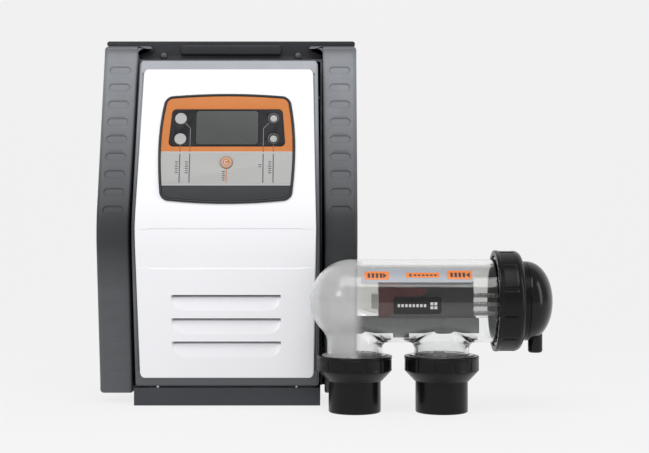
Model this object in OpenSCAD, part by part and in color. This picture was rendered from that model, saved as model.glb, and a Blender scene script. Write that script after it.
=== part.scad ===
// Salt chlorine generator: a wall-mounted power pack and its clear electrolytic cell.
// The power pack's back lies against the wall, its front faces -Y, and both units stand on Z = 0.

/* [Power pack] */
// Width across the two side panels
pack_w = 300; // [296:1:306]
// Height to the top edge of the rear housing
pack_h = 428; // [426:1:432]
// Height of the bend in the front
bend_z = 204; // [200:1:210]
// Depth from the wall to the front cover at the bend
bend_depth = 125; // [123:1:130]
// Depth from the wall to the front cover at the top
top_depth = 70; // [67:1:74]
// Depth from the wall to the front cover at the base
low_depth = 97; // [95:1:100]
// Top of the front housing
frame_top = 402; // [400:1:404]
// Wall thickness of the mouldings
wall = 3; // [2.6:0.1:3.2]
// Spacing of the two wall screws in the bracket
bracket_pitch = 80; // [60:1:84]

/* [Front cover] */
// Half width of the cover at its top edge
cover_top = 98.7; // [97:0.1:99]
// Half width of the cover at the bend
cover_mid = 102.6; // [101:0.1:103]
// Half width of the cover at its bottom edge
cover_low = 99.8; // [98:0.1:101]
// Width of each louvre
louvre_w = 125; // [110:1:135]
// Number of louvres
louvre_count = 3; // [1:1:3]
// Number of recesses in the upper part of a side panel
upper_slots = 9; // [3:1:9]
// Number of recesses in the lower part of a side panel
lower_slots = 6; // [1:1:6]

/* [Control panel] */
// Width of the keypad tray
tray_w = 157; // [150:1:160]
// Height of the keypad tray along the slope
tray_h = 133; // [128:1:135]
// Width of the display glass
lcd_w = 71.4; // [60:0.2:72]
// Height of the display glass
lcd_h = 41; // [34:0.2:41.4]
// Radius of the two large keys
large_key_r = 6.8; // [6:0.1:7]
// Radius of the two small keys
small_key_r = 4.1; // [3.5:0.1:4.5]
// Radius of the centre key
centre_key_r = 7; // [6:0.1:7.2]

/* [Cell] */
// Height of the cell's axis
axis_z = 123; // [121:1:126]
// Distance of the cell's axis in front of the wall
axis_y = 146; // [146:1:160]
// Left end of the cell from the middle of the power pack
cell_x = 96; // [95:1:120]
// Outer radius of the clear housing
glass_r = 46; // [45:0.5:47]
// Wall thickness of the clear housing
glass_wall = 4; // [3.6:0.1:4]
// Distance between the two ports
port_pitch = 96.4; // [95:0.2:100]
// Radius of the pipe sockets
pipe_r = 25.1; // [24.8:0.1:25.3]
// Outer radius of the union tails
tail_r = 29; // [28.6:0.1:29]
// Outer radius of the union nuts
nut_r = 41.5; // [41:0.1:42]
// Outer radius of the locking ring
ring_r = 56; // [55:0.5:57]
// Number of electrode plates
plate_count = 5; // [3:1:5]
// Number of flats on the nuts and the locking ring
flats = 12; // [8:1:12]

/* [Hidden] */
$fn = 64;

// Lengths that follow from the driving dimensions
cell_len = 268;
pack_at = [-(cell_x + cell_len - pack_w / 2) / 2, (axis_y + ring_r) / 2, 0];
cell_at = pack_at + [cell_x, -axis_y, axis_z];
skirt_h = 20.3;
base_z = skirt_h + 0.3;
cover_z0 = 31.6;
cover_z1 = 390;
header_y = -36;
clear = 0.1;

// Depths behind the cover's face where the front housing and the rear housing begin and end
lid_back = 40;
rear_front = 26;
seam_gap = 0.3;

// Side panels and their recesses
side_x = 112;
side_z0 = 11.6;
side_z1 = 421;
side_inset = 20;
side_lean = 2.4;
side_wall = 3.2;
slot_x = 131;
slot_w = 23;
slot_h = 8.6;
upper_slot_z = 391;
upper_slot_pitch = 20.8;
upper_slot_depth = 1.4;
lower_slot_z = 135.4;
lower_slot_pitch = 20.3;
lower_slot_depth = 0.7;

// Recessed field and louvres of the cover
field_z = 180.7;
field_w = 178;
field_h = 45.4;
louvre_z = 109.6;
louvre_h = 18;
louvre_pitch = 26.8;
louvre_corner = [16, 14];
vent_z = 14.6;
vent_h = 2.8;

// Housing screws
screw_r = 2;
screw_hole_r = 2.1;
skirt_screw_x = 80;
skirt_screw_y = [4 - low_depth, -19];
panel_screw_y = -30;
panel_screw_z = [60, 360];
header_screw_x = 80.5;
header_screw_z = 410.5;
case_half = 148.5;
bay_w = 218;
bay_wall = 1.9;
frame_low = 105.7;
frame_mid = 106.7;
frame_high = 104;

// Bracket and the recess it hangs in
bracket_z = [340, 384];
bracket_half = 54;

// Power electronics on the back wall
board_y = -14;
board_t = 1.6;
board_half = 90;
board_z = [190, 308];
board_hole_x = 84;
board_hole_z = [196, 300];
toroid_at = [-45, 0, 96];
toroid_y = [-54, -5];
toroid_r = 55;
toroid_hole_r = 18;
pad_t = 2;
bolt_r = 4;

// Fittings through the base
fitting_y = -40;
gland_x = [-70, 10];
gland_r = 10;
gland_bore_r = 4.2;
hex_r = 12.8;
fuse_x = 60;
fuse_r = 8;

// The bend in the front: two straight slopes joined by an arc
upper_tilt = atan((bend_depth - top_depth) / (frame_top - bend_z));
lower_tilt = atan((bend_depth - low_depth) / (bend_z - skirt_h));
bend_r = 120;
bend_half = (upper_tilt + lower_tilt) / 2;
bend_turn = (upper_tilt - lower_tilt) / 2;
bend_c = [-bend_depth, bend_z] + bend_r / cos(bend_half) * [cos(bend_turn), -sin(bend_turn)];

// Layers of the control panel, measured outwards from the cover's face
panel_z = 295.3;
tray_back = -6;
tray_floor = 0.5;
tray_rim = 2.4;
rim_w = 2.8;
corner_r = 9;
chin_v = -45.2;
board_w = -13;
switch_top = -9.5;
key_travel = 0.8;
left_u = -53.5;
right_u = 53.4;
upper_v = 35.6;
lower_v = 10.8;
centre_v = -17.6;
lcd_v = 24.6;
boss_u = [-56, 56];
boss_v = [-42, 46];
lcd_board = [80, 46];
key_board = [130, 104];

// Stations along the cell from its domed end
port_x = 49.5;
collar_x = 205;
glass_end = 226;
ring_x = 203.4;
ring_side = 224.4;
ring_end = 232.6;
ring_lip = 229.6;
seam_x = 238.4;
plate_x0 = 76;
plate_x1 = 180;
neck_r = 30.5;
neck_end = -73;
flange_top = -73.6;
flange_low = -79;
nut_top = -60.4;
nut_side = -76.5;
nut_low = -88;
plate_pitch = 5;
lead_x = 249.7;
head_r = 43.9;
cover_wall = 3.5;
stub_low = -57.3;
stub_r = 8;
shroud_r = 40;
shroud_x = 34.6;
shroud_end = 214;
rail_low = -32;
rail_half = 16;
rail_x0 = 35.3;
rail_x1 = 185.5;
plate_top = 22.2;
collar_r = 50;
port_lip_r = 36;
port_lip_h = 14;
tail_bore_r = 22;
terminal_well_r = 36;
rod_heights = [6, -4, -14];
rod_r = 2.5;

function depth_at(z) = z > bend_z
    ? bend_depth - (z - bend_z) * tan(upper_tilt)
    : bend_depth - (bend_z - z) * tan(lower_tilt);

// The front's side view from z0 to z1, moved back by inset
function front_line(inset, z0, z1) = concat(
    [[inset - depth_at(z0), z0]],
    [for (i = [0:8]) let (a = -lower_tilt + i * (upper_tilt + lower_tilt) / 8)
        bend_c + bend_r * [-cos(a), sin(a)] + [inset, 0]],
    [[inset - depth_at(z1), z1]]
);
function reversed(list) = [for (i = [len(list) - 1:-1:0]) list[i]];
function unit(v) = v / norm(v);

// An arc of radius r that rounds the corner at b
function fillet(a, b, c, r) =
    let (u = unit(a - b), w = unit(c - b), half = acos(u * w) / 2,
         p = b + u * r / tan(half), q = b + w * r / tan(half), m = b + unit(u + w) * r / sin(half))
    [for (i = [0:6]) m + unit(p + (q - p) * i / 6 - m) * r];
function rounded(list, r) = let (n = len(list))
    [for (i = [0:n - 1]) each fillet(list[(i + n - 1) % n], list[i], list[(i + 1) % n], r)];

// A barrel outline: a round-cornered box whose four sides bulge outwards
function round_box(w, h, r) = [for (i = [0:3])
    let (c = quarter(w, h, r, i), d = quarter(w, h, r, i + 1))
    each concat([for (a = [0:15:90]) c + r * [cos(90 * i + a), sin(90 * i + a)]],
        [for (k = [1:7]) c + (d - c) * k / 8 + r * [cos(90 * i + 90), sin(90 * i + 90)]])];
function quarter(w, h, r, i) = [(i % 4 == 0 || i % 4 == 3 ? 1 : -1) * (w / 2 - r),
    (i % 4 < 2 ? 1 : -1) * (h / 2 - r)];
function bulged(p, w, h) = [p.x * (1 - (p.y > 0 ? 0.083 : 0.051) * pow(2 * p.y / h, 2)),
    p.y * (1 - (p.y > 0 ? 0.055 : 0.069) * pow(2 * p.x / w, 2))];
function barrel(w, h) = [for (p = round_box(w, h, corner_r - (tray_w - w) / 2)) bulged(p, w, h)];
function tapered(low, mid, top, z0, z1) =
    [[-low, z0], [low, z0], [mid, bend_z], [top, z1], [-top, z1], [-mid, bend_z]];
function box_outline(w, h) = [[-w / 2, -h / 2], [w / 2, -h / 2], [w / 2, h / 2], [-w / 2, h / 2]];

module in_pack() translate(pack_at) children();
module in_cell() translate(cell_at) children();
module along_x(w) rotate([90, 0, 90]) linear_extrude(w, center = true) children();
module along_y(d) rotate([90, 0, 0]) linear_extrude(d) children();
module rod_x(x0, x1, r) translate([x0, 0, 0]) rotate([0, 90, 0]) cylinder(h = x1 - x0, r = r);
module rod_y(y0, y1, r) translate([0, y1, 0]) rotate([90, 0, 0]) cylinder(h = y1 - y0, r = r);
module spun_x() rotate([0, 90, 0]) rotate_extrude($fn = 96) children();

// Block between two corners
module block(a, b) translate(a) cube(b - a);

// The control panel's own frame: X across, Y up the slope, Z outwards
module on_panel() in_pack() translate([0, -depth_at(panel_z), panel_z])
    rotate([90 - upper_tilt, 0, 0]) children();
module slab(w0, w1) translate([0, 0, w0]) linear_extrude(w1 - w0) children();
module at_keys() for (p = [[left_u, upper_v], [left_u, lower_v], [right_u, upper_v],
                           [right_u, lower_v], [0, centre_v]]) translate(p) children();

// A band that follows the front between two insets, cut to an outline seen from the front
module front_band(inset0, inset1, z0, z1, outline) intersection() {
    along_x(pack_w) polygon(concat(front_line(inset0, z0, z1), reversed(front_line(inset1, z0, z1))));
    along_y(pack_w) polygon(outline);
}

// ---------------------------------------------------------------- power pack casing
module rear_housing() {
    color("#2b2c30") in_pack() difference() {
        union() {
            difference() {
                block([-case_half, -12, 14], [case_half, 0, pack_h]);
                block([-case_half + wall, -20, 14 + wall], [case_half - wall, -wall, pack_h - wall]);
            }
            difference() {
                along_x(bay_w) polygon(concat([[0, base_z]], front_line(rear_front, base_z, frame_top + 3.6),
                    [[header_y, frame_top + 3.6], [header_y, pack_h], [0, pack_h]]));
                along_x(bay_w - 2 * bay_wall) polygon([[-wall, base_z + wall], [-200, base_z + wall],
                    [-200, frame_top + 0.6], [header_y + wall, frame_top + 0.6],
                    [header_y + wall, pack_h - wall], [-wall, pack_h - wall]]);
            }
            block([-60, header_y - 4, 411.5], [60, header_y, 423]);
            translate([0, -1, 0]) along_y(-1 - header_y) polygon(rounded([[-case_half, side_z1 + 0.8],
                [case_half, side_z1 + 0.8], [case_half, pack_h], [-case_half, pack_h]], 2.9));
            block([-bracket_half - 8, -12, bracket_z[0] - 10], [bracket_half + 8, 0, bracket_z[1] + 8]);
        }
        block([-bracket_half - 4, -9, bracket_z[0] - 6], [bracket_half + 4, 1, bracket_z[1]]);
        block([-cover_mid - 4, -200, base_z - 1],
            [cover_mid + 4, lid_back + seam_gap - low_depth, base_z + wall + seam_gap]);
        for (x = gland_x) translate([x, fitting_y, 10]) cylinder(h = 30, r = gland_r + clear);
        translate([fuse_x, fitting_y, 10]) cylinder(h = 30, r = fuse_r + clear);
        for (s = [-1, 1]) translate([s * header_screw_x, 0, header_screw_z])
            rod_y(header_y - 5, header_y + 16, screw_hole_r);
        for (s = [-1, 1]) translate([s * skirt_screw_x, skirt_screw_y[1], 10])
            cylinder(h = 20, r = screw_hole_r);
        for (z = panel_screw_z) translate([0, panel_screw_y, z]) rod_x(-120, 120, screw_hole_r);
        translate(toroid_at) rod_y(-10, 2, bolt_r + clear);
    }
}

module wall_bracket() {
    color("#b9bcc0") in_pack() difference() {
        union() {
            block([-bracket_half, -4, bracket_z[0]], [bracket_half, 0, bracket_z[1]]);
            block([-bracket_half, -9, bracket_z[1] - 3], [bracket_half, 0, bracket_z[1]]);
        }
        for (s = [-1, 1]) translate([s * bracket_pitch / 2, 0, 360]) rod_y(-10, 2, 2.75);
    }
}

// A row of oblong recesses cut to a depth below the side panel's face
module slot_row(count, first, pitch, depth) intersection() {
    along_x(pack_w) polygon(concat(front_line(side_inset - 2, 20, 410),
        reversed(front_line(side_inset + depth, 20, 410))));
    along_y(200) for (i = [0:count - 1]) translate([slot_x, first - i * pitch])
        polygon(rounded(box_outline(slot_w, slot_h), slot_h / 2 - 0.3));
}

module side_panel() difference() {
    union() {
        intersection() {
            along_x(pack_w) polygon(concat(front_line(side_inset, side_z0, side_z1),
                [[-12.2, side_z1], [-12.2, side_z0]]));
            along_y(200) polygon([[side_x, 0], [side_x, bend_z], [side_x - side_lean, side_z1],
                [pack_w / 2, side_z1], [pack_w / 2, 0]]);
        }
        block([93, header_y - 8, side_z1 - 4], [side_x, header_y - seam_gap, side_z1]);
    }
    intersection() {
        along_x(pack_w) polygon(concat(front_line(side_inset + side_wall, side_z0 + 3, side_z1 - 3),
            [[0, side_z1 - 3], [0, side_z0 + 3]]));
        block([side_x + 2.5, -200, 0], [pack_w / 2 - 2.5, 0, pack_h]);
    }
    slot_row(upper_slots, upper_slot_z, upper_slot_pitch, upper_slot_depth);
    slot_row(lower_slots, lower_slot_z, lower_slot_pitch, lower_slot_depth);
    for (z = panel_screw_z) translate([0, panel_screw_y, z]) rod_x(100, 120, screw_hole_r);
}
module left_side_panel() color("#6c7079") in_pack() mirror([1, 0, 0]) side_panel();
module right_side_panel() color("#6c7079") in_pack() side_panel();

module front_housing() {
    color("#5d6068") difference() {
        in_pack() front_band(2, lid_back, base_z, frame_top,
            tapered(frame_low, frame_mid, frame_high, base_z, frame_top));
        in_pack() front_band(8.4, lid_back + 20, base_z + wall, frame_top - wall,
            tapered(frame_low - wall, frame_mid - wall, frame_high - wall, base_z + wall, frame_top - wall));
        in_pack() front_band(-5, 5.4, cover_z0 - 0.6, cover_z1 + 0.6, rounded(
            tapered(cover_low + 0.6, cover_mid + 0.6, cover_top + 0.6, cover_z0 - 0.6, cover_z1 + 0.6), 7));
        on_panel() slab(-20, 5) polygon(barrel(tray_w + 1, tray_h + 1));
        in_pack() block([-66, -140, 52], [66, -60, 134]);
        for (s = [-1, 1]) in_pack() translate([s * skirt_screw_x, skirt_screw_y[0], 10])
            cylinder(h = 20, r = screw_hole_r);
    }
}

// A louvre seen from the front: sharp top edge and large round lower corners
module louvre(z) translate([0, z]) polygon(concat(
    [[-louvre_w / 2, louvre_h], [louvre_w / 2, louvre_h]],
    [for (a = [0:15:90]) [louvre_w / 2 - louvre_corner.x * (1 - cos(a)), louvre_corner.y * (1 - sin(a))]],
    [for (a = [90:-15:0]) [-louvre_w / 2 + louvre_corner.x * (1 - cos(a)), louvre_corner.y * (1 - sin(a))]]));

module front_cover() {
    color("#f1f1f5") difference() {
        in_pack() front_band(0, 4, cover_z0, cover_z1,
            rounded(tapered(cover_low, cover_mid, cover_top, cover_z0, cover_z1), 7));
        on_panel() slab(-20, 5) polygon(barrel(tray_w + 0.8, tray_h + 0.8));
        in_pack() intersection() {
            along_x(pack_w) polygon(concat(front_line(-2, 100, 250), reversed(front_line(1, 100, 250))));
            along_y(200) translate([0, field_z]) polygon(rounded(box_outline(field_w, field_h), 4));
        }
        in_pack() intersection() {
            along_x(pack_w) polygon(concat(front_line(-2, 40, 180), reversed(front_line(2.6, 40, 180))));
            along_y(200) for (i = [0:louvre_count - 1]) louvre(louvre_z - i * louvre_pitch);
        }
        for (i = [0:louvre_count - 1]) in_pack() translate([0, 0, louvre_z + vent_z - i * louvre_pitch])
            block([8 - louvre_w / 2, -140, 0], [louvre_w / 2 - 8, -60, vent_h]);
    }
}

module cover_gasket() {
    color("#1c1c1e") in_pack() difference() {
        front_band(4, 5.4, cover_z0 + 1, cover_z1 - 1, rounded(
            tapered(cover_low - 1, cover_mid - 1, cover_top - 1, cover_z0 + 1, cover_z1 - 1), 6));
        along_y(pack_w) polygon(
            tapered(cover_low - 4, cover_mid - 4, cover_top - 4, cover_z0 + 4, cover_z1 - 4));
    }
}

module base_skirt() {
    color("#3b3d43") in_pack() difference() {
        block([-107, -low_depth, 0], [107, -15, skirt_h]);
        block([-99, 8 - low_depth, -1], [99, -23, skirt_h + 1]);
        for (x = gland_x) translate([x, 0, 0]) rod_y(-30, 0, 5);
        for (s = [-1, 1], y = skirt_screw_y) translate([s * skirt_screw_x, y, -1]) {
            cylinder(h = 40, r = screw_hole_r);
            cylinder(h = 5, r = 3.9);
        }
    }
}

module skirt_screws() {
    color("#9a9da1") in_pack() for (s = [-1, 1], y = skirt_screw_y) translate([s * skirt_screw_x, y, 0]) {
        translate([0, 0, 1.5]) cylinder(h = 2.5, r = 3.7);
        translate([0, 0, 4]) cylinder(h = 18.5, r = screw_r);
    }
}

module panel_screws() {
    color("#9a9da1") in_pack() for (s = [0, 1], z = panel_screw_z)
        mirror([s, 0, 0]) translate([0, panel_screw_y, z]) {
            rod_x(104.6, 107, 3.6);
            rod_x(106.9, 118, screw_r);
        }
}

module header_screws() {
    color("#3f4147") in_pack() for (s = [-1, 1]) translate([s * header_screw_x, 0, header_screw_z]) {
        rod_y(header_y - 1.4, header_y, 4.5);
        rod_y(header_y - 2.6, header_y - 1.3, 3);
        rod_y(header_y - 1, header_y + 10, screw_r);
    }
}

// ---------------------------------------------------------------- control panel
module window_outline(grow) offset(delta = grow)
    polygon(rounded([[-66.8, 2.2], [66.8, 2.2], [63.2, 47], [-63.2, 47]], 4.8));
module lcd_outline(grow) translate([0, lcd_v]) polygon(rounded(box_outline(lcd_w + grow, lcd_h + grow), 3));

module keypad_tray() {
    color("#3a3b40") on_panel() difference() {
        union() {
            slab(tray_back, tray_rim) polygon(barrel(tray_w, tray_h));
            for (u = boss_u, v = boss_v) translate([u, v, board_w]) cylinder(h = 8, r = 3);
        }
        intersection() {
            slab(tray_floor, 5) polygon(barrel(tray_w - 2 * rim_w, tray_h - 2 * rim_w));
            translate([-100, chin_v, 0]) cube([200, 150, 10]);
        }
        slab(tray_back - 1, 5) lcd_outline(-6);
        at_keys() translate([0, 0, tray_back - 1]) cylinder(h = 10, r = 1.8);
    }
}

module fascia_overlay() {
    color("#de8a4b") on_panel() difference() {
        intersection() {
            slab(tray_floor, 1.5) polygon(barrel(tray_w - 2 * rim_w - 0.6, tray_h - 2 * rim_w - 0.6));
            translate([-100, chin_v + 0.3, 0]) cube([200, 150, 10]);
        }
        slab(-1, 5) window_outline(0.4);
        translate([0, centre_v, -1]) cylinder(h = 5, r = centre_key_r + 0.35);
    }
}

module display_panel() {
    color("#34353b") on_panel() difference() {
        slab(tray_floor, 2) window_outline(0);
        slab(-1, 5) lcd_outline(0.6);
        for (v = [upper_v, lower_v]) {
            translate([left_u, v, -1]) cylinder(h = 5, r = large_key_r + 0.35);
            translate([right_u, v, -1]) cylinder(h = 5, r = small_key_r + 0.35);
        }
    }
}

module lcd_glass() color("#5b5e5b") on_panel() slab(tray_floor, 1.8) lcd_outline(0);

module lcd_module() {
    color("#8d9190") on_panel() translate([0, lcd_v, 0]) {
        slab(-12.9, -6.1) square(lcd_board, center = true);
        slab(-6.1, 0.3) polygon(rounded(box_outline(lcd_w - 7, lcd_h - 7), 3));
    }
}

module control_board() {
    color("#2f6a45") on_panel() difference() {
        slab(board_w - 1.6, board_w) translate([0, 2]) square(key_board, center = true);
        for (u = boss_u, v = boss_v) translate([u, v, -20]) cylinder(h = 10, r = 1.6);
    }
}

module tactile_switches() {
    color("#26272a") on_panel() at_keys() {
        slab(board_w, switch_top - 0.8) square(6, center = true);
        translate([0, 0, switch_top - 0.8]) cylinder(h = 0.8, r = 1.7);
    }
}

module key(u, v, r) on_panel() translate([u, v, 0]) {
    translate([0, 0, tray_floor + 1]) cylinder(h = 1.5, r = r);
    translate([0, 0, switch_top + key_travel + 0.1]) cylinder(h = -switch_top + 0.9, r = 1.5);
}
module upper_left_key() color("#c7c8cc") key(left_u, upper_v, large_key_r);
module lower_left_key() color("#c7c8cc") key(left_u, lower_v, large_key_r);
module upper_right_key() color("#c7c8cc") key(right_u, upper_v, small_key_r);
module lower_right_key() color("#c7c8cc") key(right_u, lower_v, small_key_r);
module centre_key() color("#e08a45") key(0, centre_v, centre_key_r);

// ---------------------------------------------------------------- power electronics
module ribbon_cable() {
    color("#a9abae") in_pack() translate([22, 0, 0]) rotate([90, 0, 90]) linear_extrude(25)
        polygon([[-14.3, 262], [-60, 262], [-88, 271], [-88, 270], [-60, 261], [-14.3, 261]]);
}

module at_toroid() in_pack() translate(toroid_at) children();
module toroid_core() {
    color("#b5763a") at_toroid() difference() {
        rod_y(toroid_y[0], toroid_y[1], toroid_r);
        rod_y(toroid_y[0] - 1, 0, toroid_hole_r);
    }
}
module toroid_pads() {
    color("#1b1b1d") at_toroid() for (y = [toroid_y[1], toroid_y[0] - pad_t]) difference() {
        rod_y(y, y + pad_t, toroid_r - 1);
        rod_y(y - 1, y + pad_t + 1, toroid_hole_r - 1);
    }
}
module toroid_dish() {
    color("#b9bcc0") at_toroid() difference() {
        rod_y(toroid_y[0] - 2 * pad_t, toroid_y[0] - pad_t, 34);
        rod_y(toroid_y[0] - 6, toroid_y[0] + 4, bolt_r + clear);
    }
}
module toroid_bolt() {
    color("#9a9da1") at_toroid() {
        rod_y(toroid_y[0] - 8, -1, bolt_r);
        translate([0, toroid_y[0] - 2 * pad_t, 0]) rotate([90, 0, 0]) cylinder(h = 4, r = 7.5, $fn = 6);
    }
}

module board_holes() for (s = [-1, 1], z = board_hole_z) translate([s * board_hole_x, 0, z]) children();
module power_board() {
    color("#2f6a45") in_pack() difference() {
        block([-board_half, board_y, board_z[0]], [board_half, board_y + board_t, board_z[1]]);
        board_holes() rod_y(-20, 0, 1.6);
    }
}
module board_standoffs() {
    color("#c9a24a") in_pack() board_holes() {
        rod_y(board_y + board_t, -wall, 3.5);
        rod_y(board_y, board_y + 4, 1.5);
        rod_y(board_y - 2, board_y, 3);
    }
}
module heat_sink() {
    color("#a7abb0") in_pack() {
        block([-80, board_y - 4, 205], [-20, board_y, 290]);
        for (x = [-80:9.5:-23]) block([x, board_y - 32, 205], [x + 3, board_y - 4, 290]);
    }
}
module relay() color("#2c4f8a") in_pack() block([50, board_y - 18, 250], [74, board_y, 282]);
module capacitors() {
    color("#39424f") in_pack() for (x = [0, 22], z = [218, 242])
        translate([x, 0, z]) rod_y(board_y - 30, board_y, 9);
}
module terminal_block() {
    color("#3d8a58") in_pack() difference() {
        block([44, board_y - 16, 196], [80, board_y, 212]);
        for (i = [0:4]) translate([48 + i * 7, 0, 204]) rod_y(board_y - 17, board_y - 10, 2);
    }
}

// ---------------------------------------------------------------- fittings under the base
module fuse_holder() {
    color("#202124") in_pack() translate([fuse_x, fitting_y, 0]) difference() {
        union() {
            translate([0, 0, 17.4]) cylinder(h = 3.2, r = fuse_r + 2);
            translate([0, 0, 20]) cylinder(h = 34, r = fuse_r);
        }
        translate([0, 0, 10]) cylinder(h = 40, r = 5);
    }
}
module fuse_cap() {
    color("#2e2f33") in_pack() translate([fuse_x, fitting_y, 0]) difference() {
        union() {
            translate([0, 0, 7]) cylinder(h = 10, r = fuse_r + 0.5);
            translate([0, 0, 16]) cylinder(h = 30, r = 4.6);
        }
        translate([-10, -0.7, 6]) cube([20, 1.4, 2.6]);
    }
}
module gland(x) in_pack() translate([x, fitting_y, 0]) difference() {
    union() {
        translate([0, 0, 6]) cylinder(h = 9, r = hex_r - 0.3, $fn = 6);
        translate([0, 0, 14.9]) cylinder(h = 5.7, r = hex_r, $fn = 6);
        translate([0, 0, 20]) cylinder(h = 16, r = gland_r);
        translate([0, 0, base_z + wall]) cylinder(h = 5, r = hex_r, $fn = 6);
    }
    translate([0, 0, 5]) cylinder(h = 40, r = gland_bore_r);
}
module mains_gland() color("#26272a") gland(gland_x[0]);
module lead_gland() color("#26272a") gland(gland_x[1]);

// ---------------------------------------------------------------- cell
function dome(r) = [for (a = [0:6:90]) [r * sin(a), glass_r - r * cos(a)]];
module glass_form(r, end) spun_x() polygon(concat(dome(r), [[r, end], [0, end]]));
module at_ports() for (i = [0, 1]) translate([port_x + i * port_pitch, 0, 0]) children();

module cell_housing() {
    color("#d5dce0", 0.35) in_cell() difference() {
        union() {
            glass_form(glass_r, glass_end);
            rod_x(collar_x, glass_end, collar_r);
            at_ports() translate([0, 0, neck_end]) cylinder(h = -neck_end, r = neck_r);
            at_ports() translate([0, 0, neck_end]) cylinder(h = port_lip_h, r = port_lip_r);
        }
        glass_form(glass_r - glass_wall, glass_end + 1);
        at_ports() translate([0, 0, neck_end - 1]) cylinder(h = -neck_end, r = neck_r - glass_wall);
    }
}

// A thin sticker on the front of the clear housing between two stations and two heights
module sticker(x0, x1, z0, z1) intersection() {
    difference() {
        rod_x(x0, x1, glass_r + 0.45);
        rod_x(x0 - 1, x1 + 1, glass_r + 0.05);
    }
    block([x0, -60, z0], [x1, 0, z1]);
}
module label_strip() color("#aab0b6") in_cell() sticker(55.5, 177, 21.8, 36.2);
module name_plate() color("#17181a") in_cell() sticker(90, 141.6, -12, 6.3);

module cell_head() {
    color("#141517") in_cell() difference() {
        union() {
            rod_x(214, 227, glass_r - glass_wall - 0.4);
            rod_x(glass_end + 0.3, ring_lip - 0.3, collar_r - 0.5);
            rod_x(228, seam_x, head_r);
        }
        spun_x() polygon([[39, 219], [50, 219], [50, 222.2], [39, 222.2]]);
        rod_x(224, 260, terminal_well_r);
        for (z = rod_heights) translate([0, 0, z]) rod_x(200, 240, rod_r + clear);
    }
}
module head_o_ring() color("#0c0c0d") in_cell() spun_x() translate([40.3, 220.6]) circle(1.25, $fn = 24);

module cover_form(r, len) spun_x() polygon(concat([[0, seam_x + 0.2]],
    [for (a = [0:7.5:90]) [r * cos(a), seam_x + 0.2 + len * sin(a)]]));
module terminal_cover() {
    color("#18191b") in_cell() difference() {
        union() {
            cover_form(head_r, cell_len - seam_x - 0.2);
            translate([lead_x, 0, stub_low]) cylinder(h = 30, r = stub_r);
        }
        cover_form(head_r - cover_wall, cell_len - seam_x - 3.4);
        rod_x(ring_end, seam_x + 0.2, head_r + seam_gap);
        translate([lead_x, 0, stub_low - 3]) cylinder(h = 40, r = 4.6);
    }
}
module cable_grommet() {
    color("#0c0c0d") in_cell() translate([lead_x, 0, stub_low + 1.3]) difference() {
        cylinder(h = 12, r = 4.5);
        translate([0, 0, -1]) cylinder(h = 20, r = 1.9);
    }
}

module electrode_plates() {
    color("#77797c") in_cell() for (i = [0:plate_count - 1])
        let (y = (i - (plate_count - 1) / 2) * plate_pitch)
            block([plate_x0, y - 0.5, rail_low + 0.5], [plate_x1, y + 0.5, plate_top]);
}
module terminal_rods() {
    color("#c8cacc") in_cell() for (z = rod_heights) translate([0, 0, z]) rod_x(plate_x1 + 0.1, 238, rod_r);
}
module terminal_nuts() {
    color("#c9a24a") in_cell() for (z = rod_heights) translate([224.1, 0, z]) rotate([0, 90, 0])
        difference() {
            cylinder(h = 4, r = 4.4, $fn = 6);
            translate([0, 0, -1]) cylinder(h = 6, r = rod_r + clear);
        }
}
module plate_rail() {
    color("#8f9296") in_cell() {
        for (s = [0, 1]) mirror([0, s, 0]) translate([0, rail_half, 0]) along_y(3)
            polygon([[48, -17.9], [rail_x1, -17.9], [rail_x1, rail_low], [rail_x0, rail_low]]);
        block([rail_x0, -rail_half, rail_low - 2], [rail_x1, rail_half, rail_low]);
        block([92, -3, rail_low - 9.4], [109.7, 3, rail_low - 2]);
    }
}
module plate_clip() {
    color("#c8352b") in_cell() translate([0, -11.3, 0]) along_y(1)
        polygon([[75.8, 21], [75.8, -28], [80, -28], [92, -8], [128, 9], [130, 13], [90, 21]]);
}
module plate_spacer() color("#c9ccce") in_cell() block([68.6, -13, -8], [75.4, 13, 7.4]);

module flow_shroud() {
    color("#6d7075", 0.6) in_cell() difference() {
        intersection() {
            difference() {
                rod_x(shroud_x, shroud_end, shroud_r);
                rod_x(shroud_x - 4, shroud_end + 6, shroud_r - 2);
            }
            block([shroud_x, -41, -16], [shroud_end, 41, 45]);
        }
        translate([0, 50, 0]) along_y(100) difference() {
            translate([30, -20]) square([46.8, 46]);
            translate([76.8, 26]) circle(42.1);
        }
    }
}

// Grooves between the flats of a nut or ring of radius r
module grooves(r, h) for (i = [0:flats - 1]) rotate(i * 360 / flats)
    translate([r, 0, 0]) cylinder(h = h, r = 1.7);

module locking_ring() {
    color("#111214") in_cell() rotate([0, 90, 0]) difference() {
        rotate_extrude($fn = 96) polygon(concat(
            [[collar_r + 0.35, ring_x], [ring_r, ring_x]],
            [for (a = [0:15:90]) [ring_r - 8.2 * (1 - cos(a)), ring_side + (ring_end - ring_side) * sin(a)]],
            [[head_r + 0.7, ring_end], [head_r + 0.7, ring_lip], [collar_r + 0.35, ring_lip]]));
        translate([0, 0, ring_x + 4.6]) grooves(ring_r + 0.6, ring_side - ring_x - 4.6);
    }
}

module union_nut(i) in_cell() translate([port_x + i * port_pitch, 0, 0]) difference() {
    rotate_extrude($fn = 96) polygon(concat(
        [[port_lip_r + 0.4, nut_top], [nut_r, nut_top], [nut_r, nut_side], [nut_r - 10.5, nut_low]],
        [[tail_r + 0.4, nut_low], [tail_r + 0.4, flange_low - 0.4], [port_lip_r + 0.4, flange_low - 0.4]]));
    translate([0, 0, nut_side + 1]) grooves(nut_r + 0.6, nut_top - nut_side - 3);
}
module left_union_nut() color("#17181a") union_nut(0);
module right_union_nut() color("#17181a") union_nut(1);

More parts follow.
